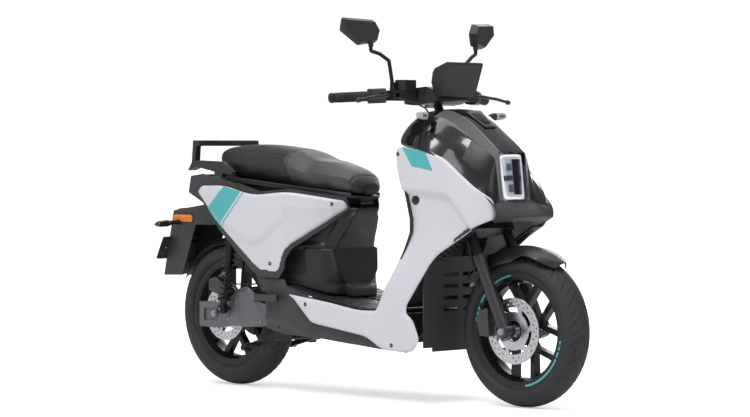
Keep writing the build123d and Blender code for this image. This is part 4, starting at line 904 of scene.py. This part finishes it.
def seat_block():
    """Closed seat body: rounded sections from tail to nose, with sides that lean in upwards."""
    xs = np.concatenate([np.linspace(-.722, -.66, 8)[:-1], np.linspace(-.66, -.06, 40)[:-1],
                         np.linspace(-.06, -.018, 8)])
    ring = 40
    verts, faces = [], []
    for x in xs:
        top = np.mean([along(x + s, SEAT_TOP) for s in np.linspace(-.014, .014, 7)]) - SHRINK
        low = along(x, SEAT_LOW) + SHRINK
        half = np.mean([along(x + s, SEAT_HALF) for s in np.linspace(-.010, .010, 7)]) - SHRINK
        mid, rise = (top + low) / 2, (top - low) / 2
        for k in range(ring):
            a = 2 * math.pi * k / ring
            c, s = math.cos(a), math.sin(a)
            y = half * math.copysign(abs(c) ** 0.52, c)
            z = math.copysign(abs(s) ** (0.60 if s > 0 else 0.40), s)
            y *= 1 - 0.13 * max(z, 0) - 0.05 * max(-z, 0)
            verts.append((x, y, mid + rise * z))
    n = len(xs)
    for i in range(n - 1):
        for k in range(ring):
            a, b = i * ring + k, i * ring + (k + 1) % ring
            faces.append((a, a + ring, b + ring, b))
    faces.append(tuple(range(ring)))
    faces.append(tuple((n - 1) * ring + k for k in range(ring))[::-1])
    return new_mesh("seat", verts, faces, "seat_black", None)


def swell(obj, pressure, cap, voxel=0.005):
    """Remesh a shape and let cloth pressure round it out, moving no point further than a cap."""
    remesh = obj.modifiers.new("remesh", "REMESH")
    remesh.mode = "VOXEL"
    remesh.voxel_size = voxel
    bake(obj)
    start = np.empty(len(obj.data.vertices) * 3)
    obj.data.vertices.foreach_get("co", start)
    cloth = obj.modifiers.new("cloth", "CLOTH")
    cloth.settings.use_pressure = True
    cloth.settings.uniform_pressure_force = pressure
    cloth.settings.quality = 5
    cloth.settings.effector_weights.gravity = 0
    cloth.point_cache.frame_start, cloth.point_cache.frame_end = 1, 20
    for frame_number in range(1, 21):
        SCENE.frame_set(frame_number)
    even = obj.modifiers.new("even", "SMOOTH")
    even.factor, even.iterations = 0.5, 40
    bake(obj)
    SCENE.frame_set(1)
    end = np.empty(len(obj.data.vertices) * 3)
    obj.data.vertices.foreach_get("co", end)
    start, end = start.reshape(-1, 3), end.reshape(-1, 3)
    move = end - start
    far = np.linalg.norm(move, axis=1, keepdims=True)
    move *= np.minimum(1, cap / np.maximum(far, 1e-9))
    return start, start + move


def build_seat():
    """Seat cushion: swollen by cloth pressure, then panelled with sewn seams."""
    seat = seat_block()
    start, points = swell(seat, 2.5, 0.014)
    points[:, 2] = np.maximum(points[:, 2], np.interp(points[:, 0], [-.722, -.67, -.56, -.324, -.018],
                                                      [.803, .767, .7405, .7195, .687]))
    for axis, (low, high) in enumerate(((-.728, -.012), (-.14, .14), (.686, .867))):
        points[:, axis] = np.clip(points[:, axis], low - 0.004, high + 0.004)
    seat.data.vertices.foreach_set("co", points.ravel())
    seat.data.update()
    fine = seat.modifiers.new("fine", "SUBSURF")
    fine.levels = fine.render_levels = 1
    bake(seat)
    mesh = seat.data
    count = len(mesh.vertices)
    co = np.empty(count * 3)
    mesh.vertices.foreach_get("co", co)
    co = co.reshape(-1, 3)
    no = np.empty(count * 3)
    mesh.vertices.foreach_get("normal", no)
    no = no.reshape(-1, 3)
    x, y, z = co.T
    top = np.interp(x, [p[0] for p in SEAT_TOP], [p[1] for p in SEAT_TOP])
    low = np.interp(x, [p[0] for p in SEAT_LOW], [p[1] for p in SEAT_LOW])
    rise = np.clip((z - low) / (top - low), 0, 1)
    rear_seam = x - (-.305 - .030 * rise)
    front_seam = x - (-.062 + .012 * rise)
    waist = rise - (0.56 + 0.10 * smooth((x + .30) / .3))
    edge = rise - 0.86
    middle = (rear_seam > 0) & (front_seam < 0)
    groove = np.exp(-(rear_seam / 0.0032) ** 2) + np.exp(-(front_seam / 0.0032) ** 2)
    groove += 0.8 * np.exp(-(edge * (top - low) / 0.0032) ** 2) * (x < -.30) * (np.abs(y) > 0.05)
    hem = np.exp(-((z - low - 0.011) / 0.0030) ** 2) * (np.abs(no[:, 2]) < 0.7)
    groove += 0.8 * hem
    fold = np.exp(-(waist * (top - low) / 0.013) ** 2) * middle * (np.abs(y) > 0.05)
    hollow = smooth(0.5 - np.abs(waist)) * (waist < 0) * middle * (np.abs(y) > 0.05)
    move = -0.0026 * np.clip(groove, 0, 1) + 0.0022 * fold - 0.0030 * hollow
    co = co + no * move[:, None]
    mesh.vertices.foreach_set("co", co.ravel())
    mesh.update()
    mesh.materials.clear()
    mesh.materials.append(M["seat_black"])
    mesh.materials.append(M["seat_grey"])
    for face in mesh.polygons:
        cx, cy, cz = face.center
        t = float(np.interp(cx, [p[0] for p in SEAT_TOP], [p[1] for p in SEAT_TOP]))
        b = float(np.interp(cx, [p[0] for p in SEAT_LOW], [p[1] for p in SEAT_LOW]))
        r = min(1, max(0, (cz - b) / (t - b)))
        inside = (cx > -.305 - .030 * r) and (cx < -.062 + .012 * r)
        face.material_index = 1 if inside and cz > b + 0.009 else 0
    mesh.shade_smooth()
    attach(seat, "seat")
    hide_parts("seat_cushion")
    return seat


SEAT = build_seat()


# ---- Box under the seat, and the deck round it ------------------------------------------------
BOX_FRONT = [(.325, -.050), (.350, -.052), (.369, -.060), (.384, -.083), (.400, -.085),
             (.479, -.097), (.498, -.103), (.510, -.104), (.545, -.092), (.575, -.072),
             (.612, -.055), (.636, -.044), (.652, -.044)]
BOX_LOW = [(-.345, .148), (-.20, .139), (-.12, .125), (-.092, .099), (-.084, .060)]
BOX_HIGH = [(-.345, .148), (-.262, .146), (-.15, .119), (-.10, .091), (-.056, .065),
            (-.040, .039)]


def box_point(s, z):
    """Outer skin of the box: s runs from the right rear corner round the front to the left."""
    front = float(np.interp(z, [p[0] for p in BOX_FRONT], [p[1] for p in BOX_FRONT]))
    side = 1 if s > 0 else -1
    t = abs(s)
    upper = float(smooth((z - .503) / .008))
    low_half = along(front - .002, BOX_LOW) if front < -.084 else .060 + (front + .084) * -.2
    high_half = along(front - .002, BOX_HIGH)
    flat = low_half * (1 - upper) + high_half * upper
    flat = min(flat, along(front - .014, BOX_LOW) * (1 - upper) + high_half * upper)
    if t < .30:
        return front, side * t / .30 * flat, z
    run = (t - .30) / .70
    bend = min(1.0, run / .16)
    x = front - .012 * bend - (.333 + front) * max(0.0, run - .04) / .96
    x = max(x, -.345)
    wide = along(x, BOX_LOW) * (1 - upper) + along(x, BOX_HIGH) * upper
    y = flat + (wide - flat) * float(smooth(bend))
    bay = .009 * upper * float(smooth((z - .516) / .014)) * float(smooth((.618 - z) / .016))
    y -= bay * float(smooth((run - .12) / .06))
    y -= .007 * (1 - upper) * float(smooth((run - .42) / .05)) * float(smooth((z - .40) / .04))
    return x, side * y, z


def build_box():
    """Under-seat box skin, with its ledge, recessed bay and floor-following foot."""
    marks = np.concatenate([np.linspace(-1, -.43, 50), np.linspace(-.42, -.30, 18),
                            np.linspace(-.28, .28, 20), np.linspace(.30, .42, 18),
                            np.linspace(.43, 1, 50)])
    heights = np.concatenate([np.linspace(0, .30, 16), np.linspace(.32, .50, 18),
                              np.linspace(.505, .57, 16), np.linspace(.60, 1, 22)])

    def point(s, v):
        x, _, _ = box_point(s, .40)
        foot = .3335 - (x + .05) * .2 if x < -.05 else .3335
        foot = max(foot, .346 + (-.107 - x) * .236) if x < -.107 else foot
        z = foot + (.650 - foot) * v
        return box_point(s, z)

    box = grid_mesh("under_seat_box", point, marks, heights, "satin", "chassis",
                    thickness=0.003, sharp=60)
    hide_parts("seat_base_cover")
    return box


build_box()

TRIM_TOP = [(-.776, .752), (-.700, .760), (-.560, .737), (-.436, .706), (-.376, .702),
            (-.247, .711), (-.167, .699), (-.067, .685)]


def deck_point(x, v):
    """Dark cover between the side trim and the seat: v runs inwards."""
    outer = -float(REAR_PLAN(np.array([x]))[0]) - .008
    inner = min(outer - .012, along(x, [(-.776, .10), (-.70, .112), (-.56, .132), (-.35, .140),
                                         (-.20, .122), (-.10, .085), (-.06, .05)]))
    lip = along(x, TRIM_TOP)
    seat_low = along(x, SEAT_LOW) - .010
    drop = min(lip - .002, seat_low if x > -.58 else lip - .002)
    z = lip - .002 + (drop - lip) * float(smooth(v * 1.3)) - .003 * math.sin(v * math.pi)
    return x, -(outer + (inner - outer) * v), z


deck = grid_mesh("deck_right", deck_point, np.linspace(-.776, -.072, 90), np.linspace(0, 1, 14),
                 "grey", "chassis", thickness=0.003, sharp=50)
flip_y(deck, "deck_left", "chassis")


def skirt_point(x, v):
    """Lower edge strip of the seat, from the cushion down over its pan."""
    half = along(x, SEAT_HALF) - .007 - .006 * v
    low = along(x, SEAT_LOW)
    return x, -half, low + .008 - .017 * v


strip = grid_mesh("seat_edge_right", skirt_point, np.linspace(-.70, -.05, 70),
                  np.linspace(0, 1, 5), "grey", "seat", thickness=0.003, sharp=40)
flip_y(strip, "seat_edge_left", "seat")


# ---- Headlight -------------------------------------------------------------------------------
LIGHT_TOP = Vector((.6235, 0, .8365))
LIGHT_LOW = Vector((.6415, 0, .6865))
LIGHT_UP = (LIGHT_TOP - LIGHT_LOW).normalized()
LIGHT_OUT = Vector((LIGHT_UP.z, 0, -LIGHT_UP.x))
LIGHT_MID = (LIGHT_TOP + LIGHT_LOW) / 2
LIGHT_H = (LIGHT_TOP - LIGHT_LOW).length / 2


def light_plate(name, outline, depth, thickness, key, hole=None, curve=0.35, body="chassis"):
    """Plate across the headlight: an outline in (Y, height), bowed back towards its sides."""
    outer = densify(np.array(outline), 0.004)
    loops = [outer]
    if hole is not None:
        loops.append(densify(np.array(hole), 0.004))
    flat = [Vector(p) for loop in loops for p in loop]
    edges, base = [], 0
    for loop in loops:
        n = len(loop)
        edges += [(base + i, base + (i + 1) % n) for i in range(n)]
        base += n
    low, high = outer.min(0), outer.max(0)
    grid = np.array([(y, z) for y in np.arange(low[0], high[0], .006)
                     for z in np.arange(low[1], high[1], .006)])
    dist, inside = edge_distance(grid, outer)
    keep = inside & (dist > .003)
    if hole is not None:
        dist, within = edge_distance(grid, loops[1])
        keep &= ~within & (dist > .003)
    flat += [Vector(p) for p in grid[keep]]
    verts, _, faces, *_ = delaunay_2d_cdt(flat, edges, [], 1, 1e-7)
    if hole is not None:
        faces = [f for f in faces
                 if not edge_distance(np.array([np.mean([tuple(verts[i]) for i in f], axis=0)]),
                                      loops[1])[1][0]]
    front = []
    for y, z in verts:
        out = depth - curve * y * y / .06
        front.append(LIGHT_MID + Vector((0, y, 0)) + LIGHT_UP * z + LIGHT_OUT * out)
    count = len(front)
    back = [p - LIGHT_OUT * thickness for p in front]
    faces = [tuple(f) for f in faces]
    sides = {(a, b) for f in faces for a, b in zip(f, f[1:] + f[:1])}
    all_faces = faces + [tuple(i + count for i in reversed(f)) for f in faces]
    all_faces += [(b, a, a + count, b + count) for a, b in sides if (b, a) not in sides]
    obj = new_mesh(name, front + back, all_faces, key, None, sharp=40)
    bm = bmesh.new()
    bm.from_mesh(obj.data)
    bmesh.ops.recalc_face_normals(bm, faces=bm.faces)
    bm.to_mesh(obj.data)
    bm.free()
    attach(obj, body)
    return obj


def light_outline(inset, top_half=.060, low_half=.053, corner=.018):
    """Rounded outline of the headlight, wider at the top."""
    h = LIGHT_H - inset
    points = [(-top_half + inset, h), (-low_half + inset, -h), (low_half - inset, -h),
              (top_half - inset, h)]
    return rounded(points, max(.004, corner - inset * .6), 7)


def half_outline(low, high, top_half, low_half):
    """Outline of one lamp chamber between two heights."""
    points = [(-top_half, high), (-low_half, low), (low_half, low), (top_half, high)]
    return rounded(points, .006, 5)


light = light_plate("light_guide", light_outline(0.001), 0.0065, 0.016, "white_light",
                    hole=light_outline(.0085, corner=.020))
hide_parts("headlight")
light_plate("light_bezel", light_outline(-.004, corner=.020), 0.0, 0.022, "gloss",
            hole=light_outline(.0, corner=.018))
light_plate("light_bar", half_outline(-.010, .004, .0477, .0472), 0.001, 0.012, "satin")
# the chamber finish glows faintly: painted light, so the reflectors read bright behind the lens
light_plate("reflector_high", half_outline(.006, .066, .0507, .0479), -.003, 0.003, "chamber")
light_plate("reflector_low", half_outline(-.066, -.012, .0470, .0440), -.003, 0.003, "chamber")
for i, (y, z, w, h) in enumerate(((-.016, .033, .013, .012), (-.014, -.038, .013, .013))):
    light_plate(f"projector_{i}", rounded([(y - w, z + h), (y - w, z - h), (y + w, z - h),
                                           (y + w, z + h)], .006, 6), .001, 0.003, "lamp_core")
    # the projector sides use the chamber finish, whose faint glow is painted light
    light_plate(f"projector_side_{i}", rounded([(.012, z + h), (.012, z - h), (.040, z - h),
                                                (.040, z + h)], .005, 6), .001, 0.003, "chamber")
light_plate("headlight_lens", light_outline(.0165, corner=.022), 0.005, 0.002, "lens")

# ---- Nose details ------------------------------------------------------------------------------
def patch(name, corners, bow, thickness, key, body="chassis", cells=10, sharp=40):
    """Four-cornered plate with a slight bow, its corners given in order."""
    a, b, c, d = [Vector(p) for p in corners]
    normal = (b - a).cross(d - a).normalized()

    def point(u, v):
        low, high = a.lerp(b, u), d.lerp(c, u)
        return low.lerp(high, v) + normal * bow * math.sin(math.pi * u) * math.sin(math.pi * v)

    steps = np.linspace(0, 1, cells)
    return grid_mesh(name, point, steps, steps, key, body, thickness=thickness, sharp=sharp)


# ---- Turn signals ------------------------------------------------------------------------------
def pod(name, root, tip, sizes, key, body="chassis", ring=20, rows=14):
    """Rounded lamp pod along a line: sizes are (position, half width, half height) rows."""
    root, tip = Vector(root), Vector(tip)
    run = tip - root
    along_run = run.normalized()
    up = Vector((0, 0, 1))
    side = along_run.cross(up).normalized()
    up = side.cross(along_run)
    verts, faces = [], []
    for t in np.linspace(0, 1, rows):
        w = float(np.interp(t, [s[0] for s in sizes], [s[1] for s in sizes]))
        h = float(np.interp(t, [s[0] for s in sizes], [s[2] for s in sizes]))
        for k in range(ring):
            a = 2 * math.pi * k / ring
            c, s = math.cos(a), math.sin(a)
            verts.append(root + run * t + side * w * math.copysign(abs(c) ** .6, c)
                         + up * h * math.copysign(abs(s) ** .6, s))
    for i in range(rows - 1):
        for k in range(ring):
            a, b = i * ring + k, i * ring + (k + 1) % ring
            faces.append((a, b, b + ring, a + ring))
    faces.append(tuple(range(ring))[::-1])
    faces.append(tuple((rows - 1) * ring + k for k in range(ring)))
    return new_mesh(name, verts, faces, key, body, sharp=40)


for side in (-1, 1):
    tag = "left" if side > 0 else "right"
    lamp = pod(f"front_signal_{tag}", (.392, side * .174, .964), (.399, side * .221, .967),
               [(0, .0115, .012), (.25, .0130, .0135), (.8, .0115, .0115), (1, .007, .007)],
               "lamp_glass")
    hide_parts("signal_lamps")
    pod(f"front_signal_core_{tag}", (.398, side * .186, .965), (.404, side * .206, .966),
        [(0, .010, .004), (.5, .0115, .0055), (1, .010, .004)], "amber_core")
    pod(f"front_stalk_{tag}", (.386, side * .135, .957), (.392, side * .176, .964),
        [(0, .010, .0125), (.5, .009, .010), (.85, .0125, .0135), (1, .0120, .0125)], "satin")
    rear = pod(f"rear_signal_{tag}", (-.925, side * .112, .583), (-.932, side * .186, .578),
               [(0, .007, .007), (.3, .0125, .0125), (.8, .012, .011), (1, .005, .004)], "smoke")
    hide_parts("signal_lamps")
    pod(f"rear_stalk_{tag}", (-.915, side * .066, .587), (-.925, side * .115, .583),
        [(0, .012, .011), (.7, .008, .008), (1, .0085, .0085)], "satin")

tail = pod("tail_light", (-.9505, 0, .620), (-.9635, 0, .616), [(0, .060, .017), (1, .056, .014)],
           "red", ring=28)
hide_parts("signal_lamps")
for side in (-1, 1):
    tag = "left" if side > 0 else "right"
    outline = rounded([(-.949, .587), (-.847, .587), (-.847, .613), (-.949, .613)], .0125, 8)
    # the amber finish glows faintly: painted light standing in for light reflected by the reflector
    shield = sheet(f"reflector_{tag}", outline, lambda x, z: x * 0 - .0835, 0.006, 0.003, .005,
                   "amber", "chassis")
    if side > 0:
        shield.data.transform(((1, 0, 0, 0), (0, -1, 0, 0), (0, 0, 1, 0), (0, 0, 0, 1)))
        shield.data.flip_normals()
    rim = sheet(f"reflector_rim_{tag}", rounded([(-.953, .583), (-.843, .583), (-.843, .617),
                                                 (-.953, .617)], .0165, 8),
                lambda x, z: x * 0 - .0805, 0.004, 0.002, .005, "deep", "chassis")
    if side > 0:
        rim.data.transform(((1, 0, 0, 0), (0, -1, 0, 0), (0, 0, 1, 0), (0, 0, 0, 1)))
        rim.data.flip_normals()


# ---- Instruments, mirrors and grips -----------------------------------------------------------
def box_of(node):
    """Lowest corner, highest corner and centre of a CAD node."""
    low, high = [Vector(c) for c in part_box(node)]
    return low, high, (low + high) / 2


SCREEN_N = Vector((-.60, 0, .80)).normalized()
display_low, display_high, display_mid = box_of("display")


def screen_plate(name, half, heights, lift, key, bow=0.0):
    """Plate on the rider's face of the display: half widths low and high, heights along it."""
    low_edge, high_edge = Vector((.3345, 0, 1.045)), Vector((.372, 0, 1.138))
    run = high_edge - low_edge
    out = Vector((-run.z, 0, run.x)).normalized()
    a, b = low_edge + run * heights[0], low_edge + run * heights[1]
    corners = [a + Vector((0, -half[0], 0)), a + Vector((0, half[0], 0)),
               b + Vector((0, half[1], 0)), b + Vector((0, -half[1], 0))]
    patch(name, [c + out * lift for c in corners], bow, 0.0022, key, "steering")


screen_plate("display_glass", (.070, .078), (.10, .94), .0016, "gloss")

GLASS_YAW = math.radians(14)
for side, body in ((-1, "mirror_right_body"), (1, "mirror_left_body")):
    tag = "left" if side > 0 else "right"
    across = Vector((-math.sin(GLASS_YAW), side * math.cos(GLASS_YAW), 0))
    out = Vector((-math.cos(GLASS_YAW), -side * math.sin(GLASS_YAW), 0))
    centre = Vector((.212, side * .306, 1.246)) + out * .0063
    outline = rounded([(-.061, -.031), (.003, -.0405), (.067, .003), (.060, .041), (-.051, .035),
                       (-.071, .006)], .008, 6)
    count = len(outline)
    verts = [centre + across * u + Vector((0, 0, v)) for u, v in outline]
    verts += [p + out * .0018 for p in verts]
    faces = [tuple(range(count)), tuple(range(count, 2 * count))[::-1]]
    faces += [(i, (i + 1) % count, (i + 1) % count + count, i + count) for i in range(count)]
    glass = new_mesh(f"mirror_glass_{tag}", verts, faces, "mirror", None, sharp=40)
    bm = bmesh.new()
    bm.from_mesh(glass.data)
    bmesh.ops.recalc_face_normals(bm, faces=bm.faces)
    bm.to_mesh(glass.data)
    bm.free()
    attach(glass, body)


def grip(name, node, body, side):
    """Rubber grip with raised ribs, a flange at its inner end and a metal bar end."""
    axis = Vector((-.4467, side * .8934, -.0481)).normalized()
    low, high, mid = box_of(node)
    reach = (high.y - low.y) / 2 / abs(axis.y) - .004
    profile = [(0, -reach), (.0155, -reach), (.0195, -reach + .001), (.0195, -reach + .006),
               (.0165, -reach + .0075)]
    ribs = 26
    for i in range(ribs):
        h = -reach + .012 + (2 * reach - .022) * i / ribs
        gap = (2 * reach - .022) / ribs
        profile += [(.0156, h), (.0171, h + gap * .25), (.0171, h + gap * .62), (.0156, h + gap * .9)]
    profile += [(.0168, reach - .006), (.0160, reach), (0, reach)]
    piece = lathe(name, profile, mid, axis, "grip", body, count=40, sharp=60)
    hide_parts(node)
    end = [(0, 0), (.0165, 0), (.0175, .003), (.0175, .010), (.0135, .015), (0, .016)]
    lathe(name + "_end", end, mid + axis * (reach + .0015), axis, "black_metal", "steering", count=32)


grip("grip_right", "throttle_grip", "throttle", -1)
grip("grip_left", "left_grip", "steering", 1)

# ---- Hoses --------------------------------------------------------------------------------------
hose = pipe("brake_hose", [(.262, -.212, 1.030), (.300, -.190, 1.020), (.332, -.130, .998),
                           (.335, -.098, .975), (.352, -.078, .90), (.43, -.066, .74),
                           (.505, -.108, .585), (.552, -.112, .46), (.566, -.108, .36),
                           (.570, -.092, .322)], .0028, "grip", None, ring=10)
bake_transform(hose)
pipe("rear_hose", [(-.352, -.112, .300), (-.42, -.128, .372), (-.50, -.126, .372),
                   (-.60, -.118, .372), (-.664, -.098, .388)], .0026, "grip", "rear_arm", ring=10)

# ---- Swingarm casting -----------------------------------------------------------------------------
CASTING = [(-.645, .318), (-.600, .322), (-.570, .352), (-.518, .366), (-.462, .330),
           (-.425, .280), (-.434, .224), (-.535, .218), (-.628, .230), (-.655, .262)]


def casting_y(x, z):
    """Cast cover: a raised middle field with drafted sides."""
    points = np.column_stack([np.ravel(x), np.ravel(z)])
    field = np.array([(-.585, .300), (-.555, .335), (-.515, .345), (-.475, .315), (-.452, .276),
                      (-.460, .242), (-.535, .240), (-.600, .252)])
    dist, inside = edge_distance(points, field)
    lift = np.where(inside, 1.0, 1 - np.clip(dist / .014, 0, 1)).reshape(np.shape(x))
    return -.1232 - .0075 * lift - .004 * np.exp(-((x + .545) / .003) ** 2) * lift


sheet("arm_casting", rounded(CASTING, .008), casting_y, .0045, .002, .004, "alloy", "rear_arm")
for i, (x, z) in enumerate(((-.628, .300), (-.450, .318), (-.446, .240), (-.612, .245))):
    lathe(f"arm_bolt_{i}", [(r * .8, h * 1.4) for r, h in SCREW], (x, -.1255, z), (0, -1, 0),
          "steel", "rear_arm", count=18)
for side in (-1, 1):
    tag = "left" if side > 0 else "right"
    nut = [(0, -.004), (.0125, -.004), (.0125, .004), (.011, .0055), (.006, .0055), (.0055, .008),
           (0, .008)]
    lathe(f"rear_nut_{tag}", nut, (-.6825, side * .127, .262), (0, side, 0), "steel", "rear_arm",
          count=6, sharp=20)
    lathe(f"front_nut_{tag}", nut, (.6825, side * .126, .255), (0, side, 0), "steel",
          "fork_lower", count=6, sharp=20)
    lathe(f"shock_bolt_{tag}", [(r * .8, h) for r, h in nut], (-.560, side * .1735, .590),
          (0, side, 0), "steel", "chassis", count=6, sharp=20)

# ---- Floor mat ------------------------------------------------------------------------------------
FLOOR = [(-.252, .379), (-.107, .345), (.046, .318), (.105, .312), (.202, .312)]
for row in range(10):
    for side in (-1, 1):
        half = .178 - .010 * (row % 2)

        def rib(u, v, row=row, side=side):
            x = -.075 + .023 * row + .011 * u + .010 * abs(v)
            y = side * (.012 + (half - .012) * v)
            crest = .0028 * math.sin(math.pi * u) ** .5
            return x, y, along(x, FLOOR) - .0005 + crest

        grid_mesh(f"mat_rib_{row}_{'left' if side > 0 else 'right'}", rib, np.linspace(0, 1, 7),
                  np.linspace(0, 1, 16), "satin", "chassis", thickness=.0012, sharp=60)

# ---- Cowl louvres ---------------------------------------------------------------------------------
for side in (-1, 1):
    tag = "left" if side > 0 else "right"
    for i in range(9):
        t = i / 8
        x, z = .440 + .138 * t, .484 + .100 * t
        corners = [(x, side * .146, z), (x + .020, side * .146, z + .004),
                   (x + .024, side * .181, z + .018), (x + .004, side * .181, z + .014)]
        patch(f"louvre_{tag}_{i}", corners, 0.0, .002, "satin", "chassis", cells=3)

# ---- Nose lid and its ribs --------------------------------------------------------------------------
patch("nose_lid", [(.448, -.040, .9835), (.448, .040, .9835), (.530, .026, .9275),
                   (.530, -.026, .9275)], 0.002, .004, "grey", "chassis")
for i, y in enumerate((-.014, .0, .014)):
    patch(f"lid_rib_{i}", [(.462, y - .003, .9765), (.462, y + .003, .9765),
                           (.515, y * .7 + .002, .9415), (.515, y * .7 - .002, .9415)], 0.001,
          .0025, "satin", "chassis", cells=5)


# ---- Shock springs --------------------------------------------------------------------------
def shock_spring(side):
    """Coil from the upper spring seat to the lower one, stretching between the two bodies."""
    top = Vector((-.560, side * .150, .590))
    down = (Vector((-.613, 0, .282)) - Vector((-.560, 0, .590))).normalized()
    across = Vector((0, 1, 0))
    third = down.cross(across)
    coils = 11
    points = []
    for t in np.linspace(0, 1, coils * 16):
        turn = 2 * math.pi * coils * t
        points.append(top + down * (.0365 + .231 * t)
                      + (across * math.cos(turn) + third * math.sin(turn)) * .019)
    coil = pipe(f"spring_{'left' if side > 0 else 'right'}", points, .0034, "black_metal", None,
                steps=1, ring=10)
    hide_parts("shock_springs")
    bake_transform(coil)


for side in (-1, 1):
    shock_spring(side)
# ---- Floor, light and camera ----------------------------------------------------------------
def stage_surface():
    """Flat floor, far larger than the scooter, so no view has a wall in front of it."""
    reach = 40
    corners = [(-reach, -reach, 0), (reach, -reach, 0), (reach, reach, 0), (-reach, reach, 0)]
    floor = new_mesh("floor", corners, [(0, 1, 2, 3)], "floor", None)


M["floor"] = plastic("pale_floor", (0.90, 0.90, 0.905), 0.8, grain=6, depth=0.0, edge=0, vary=0.004)
tree = M["floor"].node_tree
seen = tree.nodes.new("ShaderNodeLightPath")
place = tree.nodes.new("ShaderNodeNewGeometry")
reach = tree.nodes.new("ShaderNodeVectorMath")
reach.operation = "LENGTH"
tree.links.new(place.outputs["Position"], reach.inputs[0])
fade = tree.nodes.new("ShaderNodeMapRange")
for socket, value in (("From Min", 1.5), ("From Max", 7), ("To Min", 0.42), ("To Max", 1)):
    fade.inputs[socket].default_value = value
tree.links.new(reach.outputs["Value"], fade.inputs["Value"])
lift = tree.nodes.new("ShaderNodeMath")
lift.operation = "MULTIPLY"
tree.links.new(fade.outputs["Result"], lift.inputs[1])
tree.links.new(seen.outputs["Is Camera Ray"], lift.inputs[0])
glow = tree.nodes["Principled BSDF"]
glow.inputs["Emission Color"].default_value = (1, 1, 1, 1)
tree.links.new(lift.outputs["Value"], glow.inputs["Emission Strength"])
stage_surface()


def area_light(name, place, target, size, power, tone=(1, 1, 1)):
    """Soft rectangular studio light aimed at a point."""
    data = bpy.data.lights.new(name, "AREA")
    data.shape = "RECTANGLE"
    data.size, data.size_y = size
    data.energy = power
    data.color = tone
    light = bpy.data.objects.new(name, data)
    light.location = place
    light.rotation_euler = (Vector(target) - Vector(place)).to_track_quat("-Z", "Y").to_euler()
    SCENE.collection.objects.link(light)


area_light("key_light", (0.5, -3.4, 5.2), (0, 0, 0.5), (3.2, 2.2), 190)
area_light("front_fill", (6.0, -1.0, 2.4), (0.3, 0, 0.6), (2.5, 2.5), 60)
area_light("rear_fill", (-4.5, -4.0, 2.2), (-0.4, 0, 0.5), (2.5, 2.5), 30)
area_light("top_light", (0.0, 0.5, 5.0), (0, 0, 0.5), (4.0, 4.0), 110)
area_light("back_light", (-2.5, 5.0, 3.0), (0, 0, 0.8), (4.0, 2.5), 110)

world = bpy.data.worlds.new("studio")
world.use_nodes = True
world.node_tree.nodes["Background"].inputs["Color"].default_value = (0.95, 0.96, 1.0, 1)
seen = world.node_tree.nodes.new("ShaderNodeLightPath")
level = world.node_tree.nodes.new("ShaderNodeMapRange")
level.inputs["To Min"].default_value = 0.34
level.inputs["To Max"].default_value = 1.1
world.node_tree.links.new(seen.outputs["Is Camera Ray"], level.inputs["Value"])
world.node_tree.links.new(level.outputs["Result"],
                          world.node_tree.nodes["Background"].inputs["Strength"])
SCENE.world = world
SCENE.view_settings.view_transform = "Standard"

camera = bpy.data.objects.new("camera", bpy.data.cameras.new("camera"))
camera.location = (6.9125, -7.294, 0.8676)
camera.rotation_euler = Vector((-0.68798, 0.72540, -0.02192)).to_track_quat("-Z", "Y").to_euler()
camera.data.sensor_width = 36
camera.data.lens = 139.2
SCENE.collection.objects.link(camera)
SCENE.camera = camera
